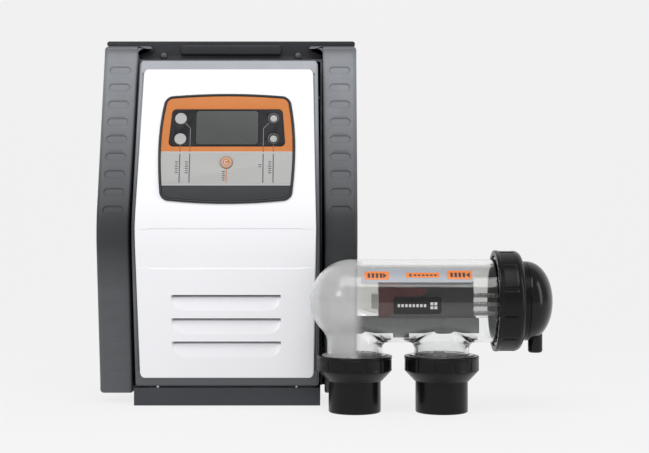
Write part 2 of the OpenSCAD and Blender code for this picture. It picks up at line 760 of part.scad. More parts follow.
module union_tail(i) in_cell() translate([port_x + i * port_pitch, 0, 0]) difference() {
    union() {
        translate([0, 0, flange_low]) cylinder(h = flange_top - flange_low, r = port_lip_r - 0.2);
        translate([0, 0, -axis_z]) cylinder(h = axis_z + flange_low + 1, r = tail_r);
    }
    translate([0, 0, -axis_z - 1]) cylinder(h = 37, r = pipe_r);
    translate([0, 0, -axis_z]) cylinder(h = axis_z, r = tail_bore_r);
    rotate_extrude($fn = 96) translate([28.6, flange_top - 2.4]) square([2.8, 10]);
}
module left_union_tail() color("#1d1e20") union_tail(0);
module right_union_tail() color("#1d1e20") union_tail(1);

module union_o_ring(i) in_cell() translate([port_x + i * port_pitch, 0, 0])
    rotate_extrude($fn = 96) translate([30, flange_top - 1.1]) circle(1.25, $fn = 24);
module left_union_o_ring() color("#0c0c0d") union_o_ring(0);
module right_union_o_ring() color("#0c0c0d") union_o_ring(1);

rear_housing();
wall_bracket();
left_side_panel();
right_side_panel();
front_housing();
front_cover();
cover_gasket();
base_skirt();
skirt_screws();
panel_screws();
header_screws();
keypad_tray();
fascia_overlay();
display_panel();
lcd_glass();
lcd_module();
control_board();
tactile_switches();
upper_left_key();
lower_left_key();
upper_right_key();
lower_right_key();
centre_key();
ribbon_cable();
toroid_core();
toroid_pads();
toroid_dish();
toroid_bolt();
power_board();
board_standoffs();
heat_sink();
relay();
capacitors();
terminal_block();
fuse_holder();
fuse_cap();
mains_gland();
lead_gland();
cell_housing();
label_strip();
name_plate();
cell_head();
head_o_ring();
terminal_cover();
cable_grommet();
electrode_plates();
terminal_rods();
terminal_nuts();
plate_rail();
plate_clip();
plate_spacer();
flow_shroud();
locking_ring();
left_union_nut();
right_union_nut();
left_union_tail();
right_union_tail();
left_union_o_ring();
right_union_o_ring();
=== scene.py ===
"""Salt chlorine generator: the looks of the power pack and its clear cell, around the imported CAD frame.

Shapes are worked out in millimetres, in the power pack's own frame (X from its middle, Y from the wall, Z
from the floor) or in the cell's (X from its domed end, Y and Z from its axis), and placed from the frame.
"""
import math

import bmesh
import bpy
import numpy as np
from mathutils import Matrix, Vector


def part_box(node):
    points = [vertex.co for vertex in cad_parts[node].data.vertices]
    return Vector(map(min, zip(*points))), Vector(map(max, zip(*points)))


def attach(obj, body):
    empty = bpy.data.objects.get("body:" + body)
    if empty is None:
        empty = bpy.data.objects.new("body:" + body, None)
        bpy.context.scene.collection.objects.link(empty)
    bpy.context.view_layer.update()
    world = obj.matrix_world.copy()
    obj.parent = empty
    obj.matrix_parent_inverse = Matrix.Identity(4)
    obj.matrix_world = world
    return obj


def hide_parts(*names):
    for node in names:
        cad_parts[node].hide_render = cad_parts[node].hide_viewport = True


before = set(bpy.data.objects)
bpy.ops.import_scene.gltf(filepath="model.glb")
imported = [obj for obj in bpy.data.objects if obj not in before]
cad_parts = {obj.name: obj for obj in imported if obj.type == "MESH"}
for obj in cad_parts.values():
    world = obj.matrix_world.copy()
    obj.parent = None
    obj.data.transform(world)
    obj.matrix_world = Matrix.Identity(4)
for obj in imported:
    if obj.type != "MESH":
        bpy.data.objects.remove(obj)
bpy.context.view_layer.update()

MM = 0.001

# ---------------------------------------------------------------- places, read from the frame
back_lo, back_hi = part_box("rear_housing")
glass_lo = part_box("cell_housing")[0]
ring_lo, ring_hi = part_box("locking_ring")
PACK = Vector(((back_lo[0] + back_hi[0]) / 2, back_hi[1], 0))
CELL = Vector((glass_lo[0], (ring_lo[1] + ring_hi[1]) / 2, (ring_lo[2] + ring_hi[2]) / 2))


def local(node, origin):
    """A node's box in millimetres from an origin."""
    lo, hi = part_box(node)
    return (np.array(lo) - np.array(origin)) / MM, (np.array(hi) - np.array(origin)) / MM


frame_hi = local("front_housing", PACK)[1]
skirt_hi = local("base_skirt", PACK)[1]

# The front: two slopes joined by an arc
BEND_Z, BEND_DEPTH, TOP_DEPTH, LOW_DEPTH = 204.0, 125.0, 70.0, 97.0
UPPER = math.atan((BEND_DEPTH - TOP_DEPTH) / (frame_hi[2] - BEND_Z))
LOWER = math.atan((BEND_DEPTH - LOW_DEPTH) / (BEND_Z - skirt_hi[2]))
BEND_R = 120.0
HALF, TURN = (UPPER + LOWER) / 2, (UPPER - LOWER) / 2
BEND_C = (-BEND_DEPTH + BEND_R / math.cos(HALF) * math.cos(TURN),
          BEND_Z - BEND_R / math.cos(HALF) * math.sin(TURN))


def tilt(z):
    """How far the front leans back at height z, in radians."""
    return np.arcsin(np.clip((np.asarray(z, float) - BEND_C[1]) / BEND_R, math.sin(-LOWER), math.sin(UPPER)))


def front_y(z):
    """The cover's face at height z."""
    z = np.asarray(z, float)
    upper = -BEND_DEPTH + (z - BEND_Z) * math.tan(UPPER)
    lower = -BEND_DEPTH + (BEND_Z - z) * math.tan(LOWER)
    arc = BEND_C[0] - np.sqrt(np.maximum(BEND_R**2 - (z - BEND_C[1]) ** 2, 0))
    low_end, high_end = BEND_C[1] - BEND_R * math.sin(LOWER), BEND_C[1] + BEND_R * math.sin(UPPER)
    return np.where(z > high_end, upper, np.where(z < low_end, lower, arc))


def widths(low, mid, top, z0, z1):
    """Half width as a function of height: straight from low to mid at the bend, and on to top."""
    return lambda z: np.interp(z, [z0, BEND_Z, z1], [low, mid, top])


# ---------------------------------------------------------------- mesh helpers
def piece(name, verts, faces, material, body, origin=PACK, stands_for=(), slot=None, sharp=38, clean=True):
    """A mesh piece from points in millimetres, smooth except at edges sharper than so many degrees."""
    mesh = bpy.data.meshes.new(name)
    place = np.array(origin)
    mesh.from_pydata([tuple(place + np.array(v) * MM) for v in verts], [], [tuple(f) for f in faces])
    if clean:
        bm = bmesh.new()
        bm.from_mesh(mesh)
        bmesh.ops.remove_doubles(bm, verts=bm.verts, dist=2e-6)
        bmesh.ops.recalc_face_normals(bm, faces=bm.faces)
        bm.to_mesh(mesh)
        bm.free()
    mesh.materials.append(material)
    mesh.shade_smooth()
    mesh.set_sharp_from_angle(angle=math.radians(sharp))
    obj = bpy.data.objects.new(name, mesh)
    bpy.context.scene.collection.objects.link(obj)
    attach(obj, body)
    if stands_for:
        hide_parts(*stands_for)
    return obj


def grid_faces(rows, cols, start=0, flip=False, wrap=False):
    """Quads over a grid of rows by cols points, closed across its columns if wrap."""
    out = []
    for i in range(rows - 1):
        for j in range(cols if wrap else cols - 1):
            a, b = start + i * cols + j, start + i * cols + (j + 1) % cols
            quad = (a, b, b + cols, a + cols)
            out.append(quad[::-1] if flip else quad)
    return out


def stations(lo, hi, step, features=(), spread=0.9, fine=0.3):
    """Places from lo to hi about a step apart, with finer ones round each feature."""
    out = list(np.linspace(lo, hi, max(2, int((hi - lo) / step) + 1)))
    for f in features:
        out += [f + d for d in np.arange(-spread, spread + fine / 2, fine) if lo < f + d < hi]
    out = np.unique(np.round(out, 3))
    keep = np.concatenate([[True], np.diff(out) > 0.05])
    return out[keep]


def soft_step(x):
    """0 below 0, 1 above 1, smooth between."""
    x = np.clip(x, 0, 1)
    return x * x * (3 - 2 * x)


def box_distance(x, z, half_w, half_h, r):
    """Signed distance to a rectangle with round corners, negative inside."""
    dx, dz = np.abs(x) - (half_w - r), np.abs(z) - (half_h - r)
    return np.hypot(np.maximum(dx, 0), np.maximum(dz, 0)) + np.minimum(np.maximum(dx, dz), 0) - r


def loft(name, loops, material, body, caps=True, **more):
    """Closed loops of points joined in turn, with flat ends if caps."""
    cols = len(loops[0])
    verts = [p for loop in loops for p in loop]
    faces = grid_faces(len(loops), cols, wrap=True)
    if caps:
        faces.append(tuple(range(cols))[::-1])
        faces.append(tuple(range(len(verts) - cols, len(verts))))
    return piece(name, verts, faces, material, body, **more)


def turned(name, profile, material, body, axis="x", centre=(0, 0, 0), shape=None, count=128, close=True,
           **more):
    """A profile of (radius, station) points spun round the X or Z axis; shape(angle, r, s) may change r."""
    loops = []
    angles = np.arange(count) * 2 * math.pi / count
    for r, s in profile:
        radius = np.array([shape(a, r, s) for a in angles]) if shape else np.full(count, r)
        u, v = radius * np.cos(angles), radius * np.sin(angles)
        along = np.full(count, s)
        points = np.stack([along, u, v] if axis == "x" else [u, v, along], 1) + np.array(centre)
        loops.append(points)
    if close:
        loops.append(loops[0])
    return loft(name, loops, material, body, caps=not close, **more)


def arc(cx, cy, r, a0, a1, n):
    """Points on an arc from a0 to a1 degrees."""
    return [(cx + r * math.cos(math.radians(a)), cy + r * math.sin(math.radians(a)))
            for a in np.linspace(a0, a1, n + 1)]


def rounded(points, radii, n=5):
    """A closed outline with its corners rounded; radii is one radius or one a corner."""
    out = []
    count = len(points)
    for i, b in enumerate(points):
        r = radii[i] if isinstance(radii, (list, tuple)) else radii
        b = Vector(b)
        u = (Vector(points[i - 1]) - b).normalized()
        w = (Vector(points[(i + 1) % count]) - b).normalized()
        half = math.acos(max(-1, min(1, u.dot(w)))) / 2
        if r < 1e-4:
            out.append(tuple(b))
            continue
        p, q = b + u * r / math.tan(half), b + w * r / math.tan(half)
        mid = b + (u + w).normalized() * r / math.sin(half)
        out += [tuple(mid + (p.lerp(q, k / n) - mid).normalized() * r) for k in range(n + 1)]
    return out


def slab(name, outline, low, high, edge, to_space, material, body, **more):
    """An outline (anticlockwise) from low to high, its top edge rounded; to_space places (u, v, w)."""
    pts = np.array(outline)
    before, after = np.roll(pts, 1, 0), np.roll(pts, -1, 0)
    run = after - before
    length = np.maximum(np.linalg.norm(run, axis=1, keepdims=True), 1e-9)
    normal = np.stack([run[:, 1], -run[:, 0]], 1) / length
    levels = [(0, low), (0, high - edge)]
    levels += [(edge * (1 - math.cos(a)), high - edge * (1 - math.sin(a)))
               for a in np.linspace(0.35, math.pi / 2, 4)]
    loops = [[to_space(u, v, w) for u, v in pts - normal * inset] for inset, w in levels]
    return loft(name, loops, material, body, **more)


def rounded_node(node, width, material, body):
    """The CAD node's own shape with its edges rounded, standing for that node."""
    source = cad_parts[node].data
    bm = bmesh.new()
    bm.from_mesh(source)
    bmesh.ops.remove_doubles(bm, verts=bm.verts, dist=1e-6)
    bmesh.ops.dissolve_limit(bm, angle_limit=math.radians(1), verts=bm.verts, edges=bm.edges)
    mesh = bpy.data.meshes.new(node + "_rounded")
    bm.to_mesh(mesh)
    bm.free()
    obj = bpy.data.objects.new(node + "_rounded", mesh)
    bpy.context.scene.collection.objects.link(obj)
    bevel = obj.modifiers.new("edges", "BEVEL")
    bevel.width = width * MM
    bevel.segments = 3
    bevel.limit_method = "ANGLE"
    bevel.angle_limit = math.radians(40)
    bevel.harden_normals = False
    bpy.context.view_layer.update()
    done = bpy.data.meshes.new_from_object(obj.evaluated_get(bpy.context.evaluated_depsgraph_get()))
    obj.modifiers.clear()
    obj.data = done
    done.materials.clear()
    done.materials.append(material)
    done.shade_smooth()
    done.set_sharp_from_angle(angle=math.radians(34))
    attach(obj, body)
    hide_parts(node)
    return obj


# ---------------------------------------------------------------- materials
def new_material(name):
    """A material with its node tree and Principled shader."""
    mat = bpy.data.materials.new(name)
    mat.use_nodes = True
    return mat, mat.node_tree, mat.node_tree.nodes["Principled BSDF"]


def add_noise(tree, scale, detail=3.0, stretch=None):
    """Noise over the object's own coordinates, stretched along an axis if asked."""
    nodes, links = tree.nodes, tree.links
    coords = nodes.new("ShaderNodeTexCoord")
    noise = nodes.new("ShaderNodeTexNoise")
    noise.inputs["Scale"].default_value = scale
    noise.inputs["Detail"].default_value = detail
    if stretch:
        mapping = nodes.new("ShaderNodeMapping")
        mapping.inputs["Scale"].default_value = stretch
        links.new(coords.outputs["Object"], mapping.inputs["Vector"])
        links.new(mapping.outputs["Vector"], noise.inputs["Vector"])
    else:
        links.new(coords.outputs["Object"], noise.inputs["Vector"])
    return noise.outputs["Fac"]


def ramp(tree, value, low, high, start=0.3, end=0.7):
    """A colour ramp between two colours or grey levels."""
    node = tree.nodes.new("ShaderNodeValToRGB")
    for element, place, colour in zip(node.color_ramp.elements, (start, end), (low, high)):
        element.position = place
        element.color = (*colour, 1) if isinstance(colour, (tuple, list)) else (colour, colour, colour, 1)
    tree.links.new(value, node.inputs["Fac"])
    return node.outputs["Color"]


def shade(colour, factor):
    return tuple(min(1, c * factor) for c in colour[:3])


def moulded(name, colour, roughness, grain=1800, bump=0.06, vary=0.05, coat=0.0, spread=0.08, metallic=0.0,
            stretch=None, specular=0.5):
    """Moulded or coated surface: fine grain, slow drift in colour and in roughness."""
    mat, tree, shader = new_material(name)
    shader.inputs["Metallic"].default_value = metallic
    shader.inputs["Specular IOR Level"].default_value = specular
    if coat:
        shader.inputs["Coat Weight"].default_value = coat
        shader.inputs["Coat Roughness"].default_value = 0.08
    drift = add_noise(tree, 14, 4)
    tree.links.new(ramp(tree, drift, shade(colour, 1 - vary), shade(colour, 1 + vary)),
                   shader.inputs["Base Color"])
    wear = add_noise(tree, 60, 6, stretch)
    tree.links.new(ramp(tree, wear, max(roughness - spread, 0.02), min(roughness + spread, 1)),
                   shader.inputs["Roughness"])
    bumps = tree.nodes.new("ShaderNodeBump")
    bumps.inputs["Strength"].default_value = bump
    bumps.inputs["Distance"].default_value = 0.0002
    tree.links.new(add_noise(tree, grain, 2, stretch), bumps.inputs["Height"])
    tree.links.new(bumps.outputs["Normal"], shader.inputs["Normal"])
    return mat


def clear(name, colour, ior, roughness=0.01):
    """Clear or tinted plastic that light goes through."""
    mat, tree, shader = new_material(name)
    shader.inputs["Base Color"].default_value = (*colour, 1)
    shader.inputs["Transmission Weight"].default_value = 1.0
    shader.inputs["IOR"].default_value = ior
    smear = add_noise(tree, 30, 4)
    tree.links.new(ramp(tree, smear, roughness, roughness + 0.02), shader.inputs["Roughness"])
    return mat


def graded(tree, axis, start, end):
    """A smooth rise from 0 at start to 1 at end, both in metres along an axis of the scene."""
    coords = tree.nodes.new("ShaderNodeTexCoord")
    parts = tree.nodes.new("ShaderNodeSeparateXYZ")
    tree.links.new(coords.outputs["Object"], parts.inputs["Vector"])
    rise = tree.nodes.new("ShaderNodeMapRange")
    rise.interpolation_type = "SMOOTHSTEP"
    rise.inputs["From Min"].default_value = start
    rise.inputs["From Max"].default_value = end
    tree.links.new(parts.outputs[axis], rise.inputs["Value"])
    return rise.outputs["Result"]


def combined(tree, operation, first, second):
    """Two values, or a value and a number, put through one Math node."""
    node = tree.nodes.new("ShaderNodeMath")
    node.operation = operation
    tree.links.new(first, node.inputs[0])
    if isinstance(second, float):
        node.inputs[1].default_value = second
    else:
        tree.links.new(second, node.inputs[1])
    return node.outputs[0]


def glass_painted_bright():
    """Clear acrylic with a white layer mixed in at the domed end and ports: painted light, standing in for
    the bright backdrop seen through the clear wall.
    """
    mat = clear("clear_acrylic", (0.975, 0.98, 0.98), ior=1.46)
    tree = mat.node_tree
    painted_white = tree.nodes.new("ShaderNodeBsdfPrincipled")
    painted_white.inputs["Base Color"].default_value = (0.93, 0.93, 0.93, 1)
    painted_white.inputs["Roughness"].default_value = 0.3
    # How much painted white light the domed end and the ports get.
    dome_painted_white, port_painted_white = 0.34, 0.08
    dome = combined(tree, "MULTIPLY", graded(tree, "X", CELL.x + 0.060, CELL.x + 0.046), dome_painted_white)
    port = combined(tree, "MULTIPLY", graded(tree, "Z", CELL.z - 0.040, CELL.z - 0.048), port_painted_white)
    painted_white_amount = combined(tree, "MAXIMUM", dome, port)
    mix = tree.nodes.new("ShaderNodeMixShader")
    tree.links.new(painted_white_amount, mix.inputs[0])
    tree.links.new(tree.nodes["Principled BSDF"].outputs[0], mix.inputs[1])
    tree.links.new(painted_white.outputs[0], mix.inputs[2])
    tree.links.new(mix.outputs[0], tree.nodes["Material Output"].inputs["Surface"])
    return mat


def graded_plate():
    """Coated titanium, paler towards the bottom."""
    mat = moulded("electrode", (0.06, 0.061, 0.064), 0.42, grain=700, bump=0.25, vary=0.15, metallic=0.3)
    tree = mat.node_tree
    colour = ramp(tree, graded(tree, "Z", CELL.z + 0.006, CELL.z - 0.03), (0.036, 0.038, 0.04),
                  (0.17, 0.172, 0.172), 0, 1)
    tree.links.new(colour, tree.nodes["Principled BSDF"].inputs["Base Color"])
    return mat


def printed_film(split):
    """The fascia's print: silver up to a height in metres, orange above it."""
    mat = moulded("fascia_print", (0.42, 0.42, 0.415), 0.49, grain=2600, bump=0.045, vary=0.02, specular=0.25)
    tree = mat.node_tree
    print_colour = ramp(tree, graded(tree, "Z", split - 0.00005, split + 0.00005), (0.42, 0.42, 0.415),
                        (0.56, 0.185, 0.045), 0, 1)
    tree.links.new(print_colour, tree.nodes["Principled BSDF"].inputs["Base Color"])
    return mat


def blue_grey(v):
    return (v, v * 1.05, v * 1.14)


def shaded_by_height(name, steps, roughness):
    """Satin paint with light and shade painted into its colour by height, under a faint random drift: steps
    are (height in metres, grey level).
    """
    mat = moulded(name, (0.1, 0.1, 0.1), roughness, bump=0.09, specular=0.4)
    tree = mat.node_tree
    # The ramp that paints light and shade into the colour by height.
    painted_shade_ramp = tree.nodes.new("ShaderNodeValToRGB")
    low, high = steps[0][0], steps[-1][0]
    while len(painted_shade_ramp.color_ramp.elements) < len(steps):
        painted_shade_ramp.color_ramp.elements.new(0.5)
    for element, (z, grey) in zip(painted_shade_ramp.color_ramp.elements, steps):
        element.position = (z - low) / (high - low)
        element.color = (*blue_grey(grey), 1)
    rise = graded(tree, "Z", low, high)
    rise.node.interpolation_type = "LINEAR"
    tree.links.new(rise, painted_shade_ramp.inputs["Fac"])
    drift = tree.nodes.new("ShaderNodeMix")
    drift.data_type = "RGBA"
    drift.blend_type = "MULTIPLY"
    drift.inputs["Factor"].default_value = 1.0
    tree.links.new(painted_shade_ramp.outputs["Color"], drift.inputs["A"])
    tree.links.new(ramp(tree, add_noise(tree, 14, 4), 0.95, 1.0), drift.inputs["B"])
    tree.links.new(drift.outputs["Result"], tree.nodes["Principled BSDF"].inputs["Base Color"])
    return mat


# Side panels and frame: painted light and shade by height, lighter high up and darker round the bend.
SIDE_GREY = shaded_by_height("side_grey", [
    (0.0, 0.096), (0.13, 0.086), (0.185, 0.030), (0.215, 0.034), (0.245, 0.075),
    (0.33, 0.16), (0.385, 0.21), (0.405, 0.20), (0.421, 0.12)], 0.42)
FRAME_GREY = shaded_by_height("frame_grey", [
    (0.0, 0.09), (0.04, 0.09), (0.13, 0.125), (0.20, 0.055), (0.25, 0.12),
    (0.32, 0.28), (0.402, 0.35)], 0.38)
REAR_BLACK = moulded("rear_black", (0.017, 0.018, 0.022), 0.45, bump=0.10, specular=0.35)
SKIRT_GREY = moulded("skirt_grey", (0.040, 0.043, 0.050), 0.42, bump=0.08, specular=0.35)
WHITE = moulded("cover_white", (0.87, 0.87, 0.90), 0.30, grain=2600, bump=0.006, vary=0.004, spread=0.02)
TRAY = moulded("tray_dark", (0.022, 0.023, 0.026), 0.38, bump=0.05, specular=0.3)
CHIN = moulded("chin_dark", (0.034, 0.036, 0.039), 0.42, bump=0.06, specular=0.3)
ORANGE = moulded("fascia_orange", (0.56, 0.185, 0.045), 0.5, grain=2600, bump=0.04, vary=0.02, specular=0.2)
SILVER = moulded("fascia_silver", (0.42, 0.42, 0.415), 0.48, grain=2600, bump=0.05, vary=0.03, specular=0.3)
WINDOW = moulded("window_black", (0.020, 0.020, 0.023), 0.35, grain=2600, bump=0.01, spread=0.04,
                 specular=0.1)
LCD = moulded("lcd_grey", (0.076, 0.082, 0.078), 0.35, grain=3000, bump=0.02, vary=0.03, specular=0.12)
KEY = moulded("key_grey", (0.41, 0.41, 0.405), 0.5, bump=0.05, specular=0.3)
KEY_RING = moulded("key_ring", (0.02, 0.02, 0.024), 0.3)
LINE_LIGHT = moulded("line_light", (0.50, 0.51, 0.53), 0.45)
LINE_GREY = moulded("line_grey", (0.17, 0.17, 0.18), 0.45)
LINE_DARK = moulded("line_dark", (0.075, 0.075, 0.085), 0.45)
LINE_BROWN = moulded("line_brown", (0.16, 0.07, 0.03), 0.45)
BLACK = moulded("black_moulding", (0.005, 0.005, 0.0053), 0.27, grain=1300, bump=0.03, spread=0.05,
                specular=0.2)
BLACK_GLOSS = moulded("black_gloss", (0.006, 0.006, 0.0065), 0.17, grain=900, bump=0.012, spread=0.03,
                      specular=0.26)
RUBBER = moulded("rubber", (0.012, 0.012, 0.013), 0.6, bump=0.15)
STEEL = moulded("plated_steel", (0.55, 0.56, 0.57), 0.32, metallic=1.0, vary=0.08, stretch=(1, 12, 1))
SCREW_DARK = moulded("screw_dark", (0.07, 0.072, 0.078), 0.35, metallic=0.4)
ALLOY = moulded("alloy", (0.62, 0.63, 0.65), 0.38, metallic=1.0, vary=0.05, stretch=(1, 1, 14))
BRASS = moulded("brass", (0.60, 0.42, 0.14), 0.28, metallic=1.0, vary=0.1)
BOARD = moulded("board_green", (0.025, 0.13, 0.06), 0.35, grain=500, bump=0.1, vary=0.12, coat=0.3)
COPPER = moulded("winding", (0.40, 0.15, 0.05), 0.35, grain=260, bump=0.5, vary=0.15, metallic=0.6,
                 stretch=(1, 4, 1))
RELAY = moulded("relay_blue", (0.03, 0.09, 0.28), 0.25)
SLEEVE = moulded("can_sleeve", (0.03, 0.045, 0.07), 0.25)
TERMINAL = moulded("terminal_green", (0.05, 0.25, 0.1), 0.4)
RIBBON = moulded("ribbon", (0.42, 0.43, 0.45), 0.5, grain=400, bump=0.4, stretch=(8, 1, 1))
DARK = moulded("dark_moulding", (0.02, 0.021, 0.023), 0.4)
ROD = moulded("titanium_rod", (0.35, 0.35, 0.36), 0.3, metallic=1.0, stretch=(10, 1, 1))
RAIL = moulded("rail_grey", (0.17, 0.175, 0.18), 0.32, vary=0.05)
RED = moulded("clip_red", (0.20, 0.028, 0.022), 0.45, vary=0.25)
SPACER = moulded("spacer_white", (0.85, 0.86, 0.84), 0.4)
LABEL = moulded("label_grey", (0.36, 0.39, 0.43), 0.3, grain=2600, bump=0.03, vary=0.02)
LABEL_ORANGE = moulded("label_orange", (0.80, 0.22, 0.04), 0.35, grain=2600, bump=0.03, vary=0.02)
LABEL_INK = moulded("label_ink", (0.05, 0.03, 0.03), 0.4)
PLATE_INK = moulded("plate_ink", (0.55, 0.56, 0.57), 0.35)
PLATE_BLACK = moulded("plate_black", (0.008, 0.008, 0.009), 0.2, grain=2600, bump=0.02)
GLASS = glass_painted_bright()
PLATE = graded_plate()
SMOKE = clear("smoke_acrylic", (0.76, 0.755, 0.74), ior=1.06, roughness=0.03)

for node, material in {
    # The panel screws get the dark screw colour as painted shade, so they read dark in the shaded gap between
    # frame and side panels.
    "wall_bracket": STEEL, "cover_gasket": RUBBER, "skirt_screws": STEEL, "panel_screws": SCREW_DARK,
    "lcd_module": STEEL, "control_board": BOARD, "tactile_switches": DARK, "ribbon_cable": RIBBON,
    "toroid_core": COPPER, "toroid_pads": RUBBER, "toroid_dish": STEEL, "toroid_bolt": STEEL,
    "power_board": BOARD, "board_standoffs": BRASS, "heat_sink": ALLOY, "relay": RELAY, "capacitors": SLEEVE,
    "terminal_block": TERMINAL, "fuse_holder": DARK, "fuse_cap": DARK,
    "mains_gland": DARK, "lead_gland": DARK,
    "cell_head": BLACK, "head_o_ring": RUBBER, "cable_grommet": RUBBER, "electrode_plates": PLATE,
    "terminal_rods": ROD, "terminal_nuts": BRASS, "plate_clip": RED, "plate_spacer": SPACER,
    "flow_shroud": SMOKE, "left_union_o_ring": RUBBER, "right_union_o_ring": RUBBER,
}.items():
    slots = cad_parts[node].material_slots
    for each in slots:
        each.material = material


# ---------------------------------------------------------------- power pack casing
def plate(name, half_w, z0, z1, inset, corner, edge, back, material, height=None, xs=(), zs=(), **more):
    """A closed plate that follows the bent front: half_w(z) wide, with round corners and edges.
    height(x, z) is how far its face is sunk, and back how thick the plate is."""
    rim = [0, 0.12, 0.35, 0.7, 1.1, 1.6, 2.2, 3]
    reach = half_w(z1) - corner - max(rim) - 1
    inner = stations(-reach, reach, 6, xs)
    arc_steps = [corner * (1 - math.cos(a)) for a in np.linspace(0.2, math.pi / 2, 7)]
    ends = sorted(set(rim + arc_steps))
    rows = stations(z0 + max(ends) + 0.5, z1 - max(ends) - 0.5, 6, list(zs) + [BEND_Z])
    rows = np.concatenate([[z0 + e for e in ends], rows, [z1 - e for e in ends[::-1]]])
    grid = []
    for z in rows:
        from_end = min(z - z0, z1 - z)
        cut = corner - math.sqrt(max(corner**2 - (corner - from_end) ** 2, 0)) if from_end < corner else 0
        hw = float(half_w(z)) - cut
        x = np.concatenate([[-hw + d for d in rim], inner, [hw - d for d in rim[::-1]]])
        side = hw - np.abs(x)
        near = np.minimum(side + cut * 0.3, from_end)
        drop = np.where(near < edge, edge - np.sqrt(np.maximum(edge**2 - (edge - near) ** 2, 0)), 0)
        sunk = drop + inset + (height(x, z) if height else 0)
        lean = float(tilt(z))
        grid.append(np.stack([x, front_y(z) + sunk * math.cos(lean), z - sunk * math.sin(lean)], 1))
    grid = np.array(grid)
    rows_n, cols_n = grid.shape[:2]
    lean = tilt(rows)[:, None]
    base = np.stack([grid[:, :, 0], np.repeat((front_y(rows) + inset)[:, None], cols_n, 1) + back,
                     np.repeat(rows[:, None], cols_n, 1)], 2)
    base[:, :, 1] = np.maximum(base[:, :, 1], grid[:, :, 1] + 1.5)
    verts = np.concatenate([grid.reshape(-1, 3), base.reshape(-1, 3)])
    offset = rows_n * cols_n
    faces = grid_faces(rows_n, cols_n) + grid_faces(rows_n, cols_n, start=offset, flip=True)
    border = ([j for j in range(cols_n)] + [i * cols_n + cols_n - 1 for i in range(1, rows_n)]
              + [(rows_n - 1) * cols_n + j for j in range(cols_n - 2, -1, -1)]
              + [i * cols_n for i in range(rows_n - 2, 0, -1)])
    for a, b in zip(border, border[1:] + border[:1]):
        faces.append((a, b, b + offset, a + offset))
    return piece(name, verts, faces, material, "pack", **more)


FIELD_Z, FIELD_W, FIELD_H = 180.7, 178.0, 45.4
LOUVRE_W, LOUVRE_H, LOUVRE_Z, LOUVRE_STEP = 125.0, 18.0, 109.6, 26.8
LOUVRES = [LOUVRE_Z - i * LOUVRE_STEP for i in range(3)]


def cover_height(x, z):
    """The recessed field and the scoops of the louvres."""
    field = box_distance(x, z - FIELD_Z, FIELD_W / 2, FIELD_H / 2, 4)
    sunk = 1.0 * soft_step(0.5 - field / 1.0)
    for low in LOUVRES:
        t = z - low
        if -1.5 < t < LOUVRE_H + 1.5:
            over = np.clip((np.abs(x) - (LOUVRE_W / 2 - 17)) / 17, 0, 1)
            floor = 14 * (1 - np.sqrt(np.maximum(1 - over**2, 0)))
            inside = (t - floor) / np.maximum(LOUVRE_H - floor, 1)
            scoop = 5.2 * np.clip(inside, 0, 1) ** 0.9
            slot = 5.0 * soft_step((t - (LOUVRE_H - 3.6)) / 0.8)
            fade = soft_step((LOUVRE_W / 2 + 0.2 - np.abs(x)) / 1.6) * soft_step((LOUVRE_H + 0.25 - t) / 0.5)
            sunk = sunk + (scoop + slot) * fade
    return sunk


def build_cover():
    z_features = [FIELD_Z - FIELD_H / 2, FIELD_Z + FIELD_H / 2]
    z_features += [FIELD_Z + s * (FIELD_H / 2 - 2) for s in (-1, 1)]
    for low in LOUVRES:
        z_features += list(np.arange(low - 0.5, low + LOUVRE_H + 0.5, 0.8))
        z_features += [low + LOUVRE_H, low + LOUVRE_H - 3.2]
    x_features = [s * v for s in (-1, 1) for v in (FIELD_W / 2, FIELD_W / 2 - 2)]
    x_features += [s * v for s in (-1, 1) for v in np.arange(LOUVRE_W / 2 - 17, LOUVRE_W / 2 + 0.6, 1.4)]
    plate("cover_moulding", widths(99.8, 102.6, 98.7, 31.6, 390), 31.6, 390, 0, 7, 1.6, 4, WHITE,
          height=cover_height, xs=x_features, zs=z_features, stands_for=["front_cover"], slot="white_cover")


def frame_height(x, z):
    """The pocket behind the cover."""
    gap = box_distance(x, z - 210.8, 97.0, 177.0, 7)
    return 7.0 * soft_step(0.5 - (gap + 1.2) / 0.8)


def build_frame():
    def half_w(z):
        return np.interp(z, [20.6, BEND_Z, 402], [105.7, 106.7, 104])
    plate("frame_moulding", half_w, 20.6, 402, 2.0, 6, 3.2, 36, FRAME_GREY,
          height=frame_height, xs=[-97, 97], zs=[34, 387], stands_for=["front_housing"], slot="frame_casing")


SLOT_X, SLOT_W, SLOT_H = 131.0, 23.0, 8.6
UPPER_SLOTS = [391 - i * 20.8 for i in range(9)]
LOWER_SLOTS = [135.4 - i * 20.3 for i in range(6)]


def slot_depth(x, z):
    """How far the side panel's face is sunk: deep oblong recesses above the bend, shallow ones below."""
    sunk = np.zeros_like(x)
    for centre in UPPER_SLOTS:
        away = box_distance(x - SLOT_X, z - centre, SLOT_W / 2, SLOT_H / 2, 4.2)
        sunk = sunk + 1.4 * soft_step(0.5 - away / 0.9)
    for centre in LOWER_SLOTS:
        away = box_distance(x - SLOT_X, z - centre, SLOT_W / 2, SLOT_H / 2, 4.2)
        sunk = sunk + 0.4 * soft_step(0.5 - away / 1.2)
    return sunk


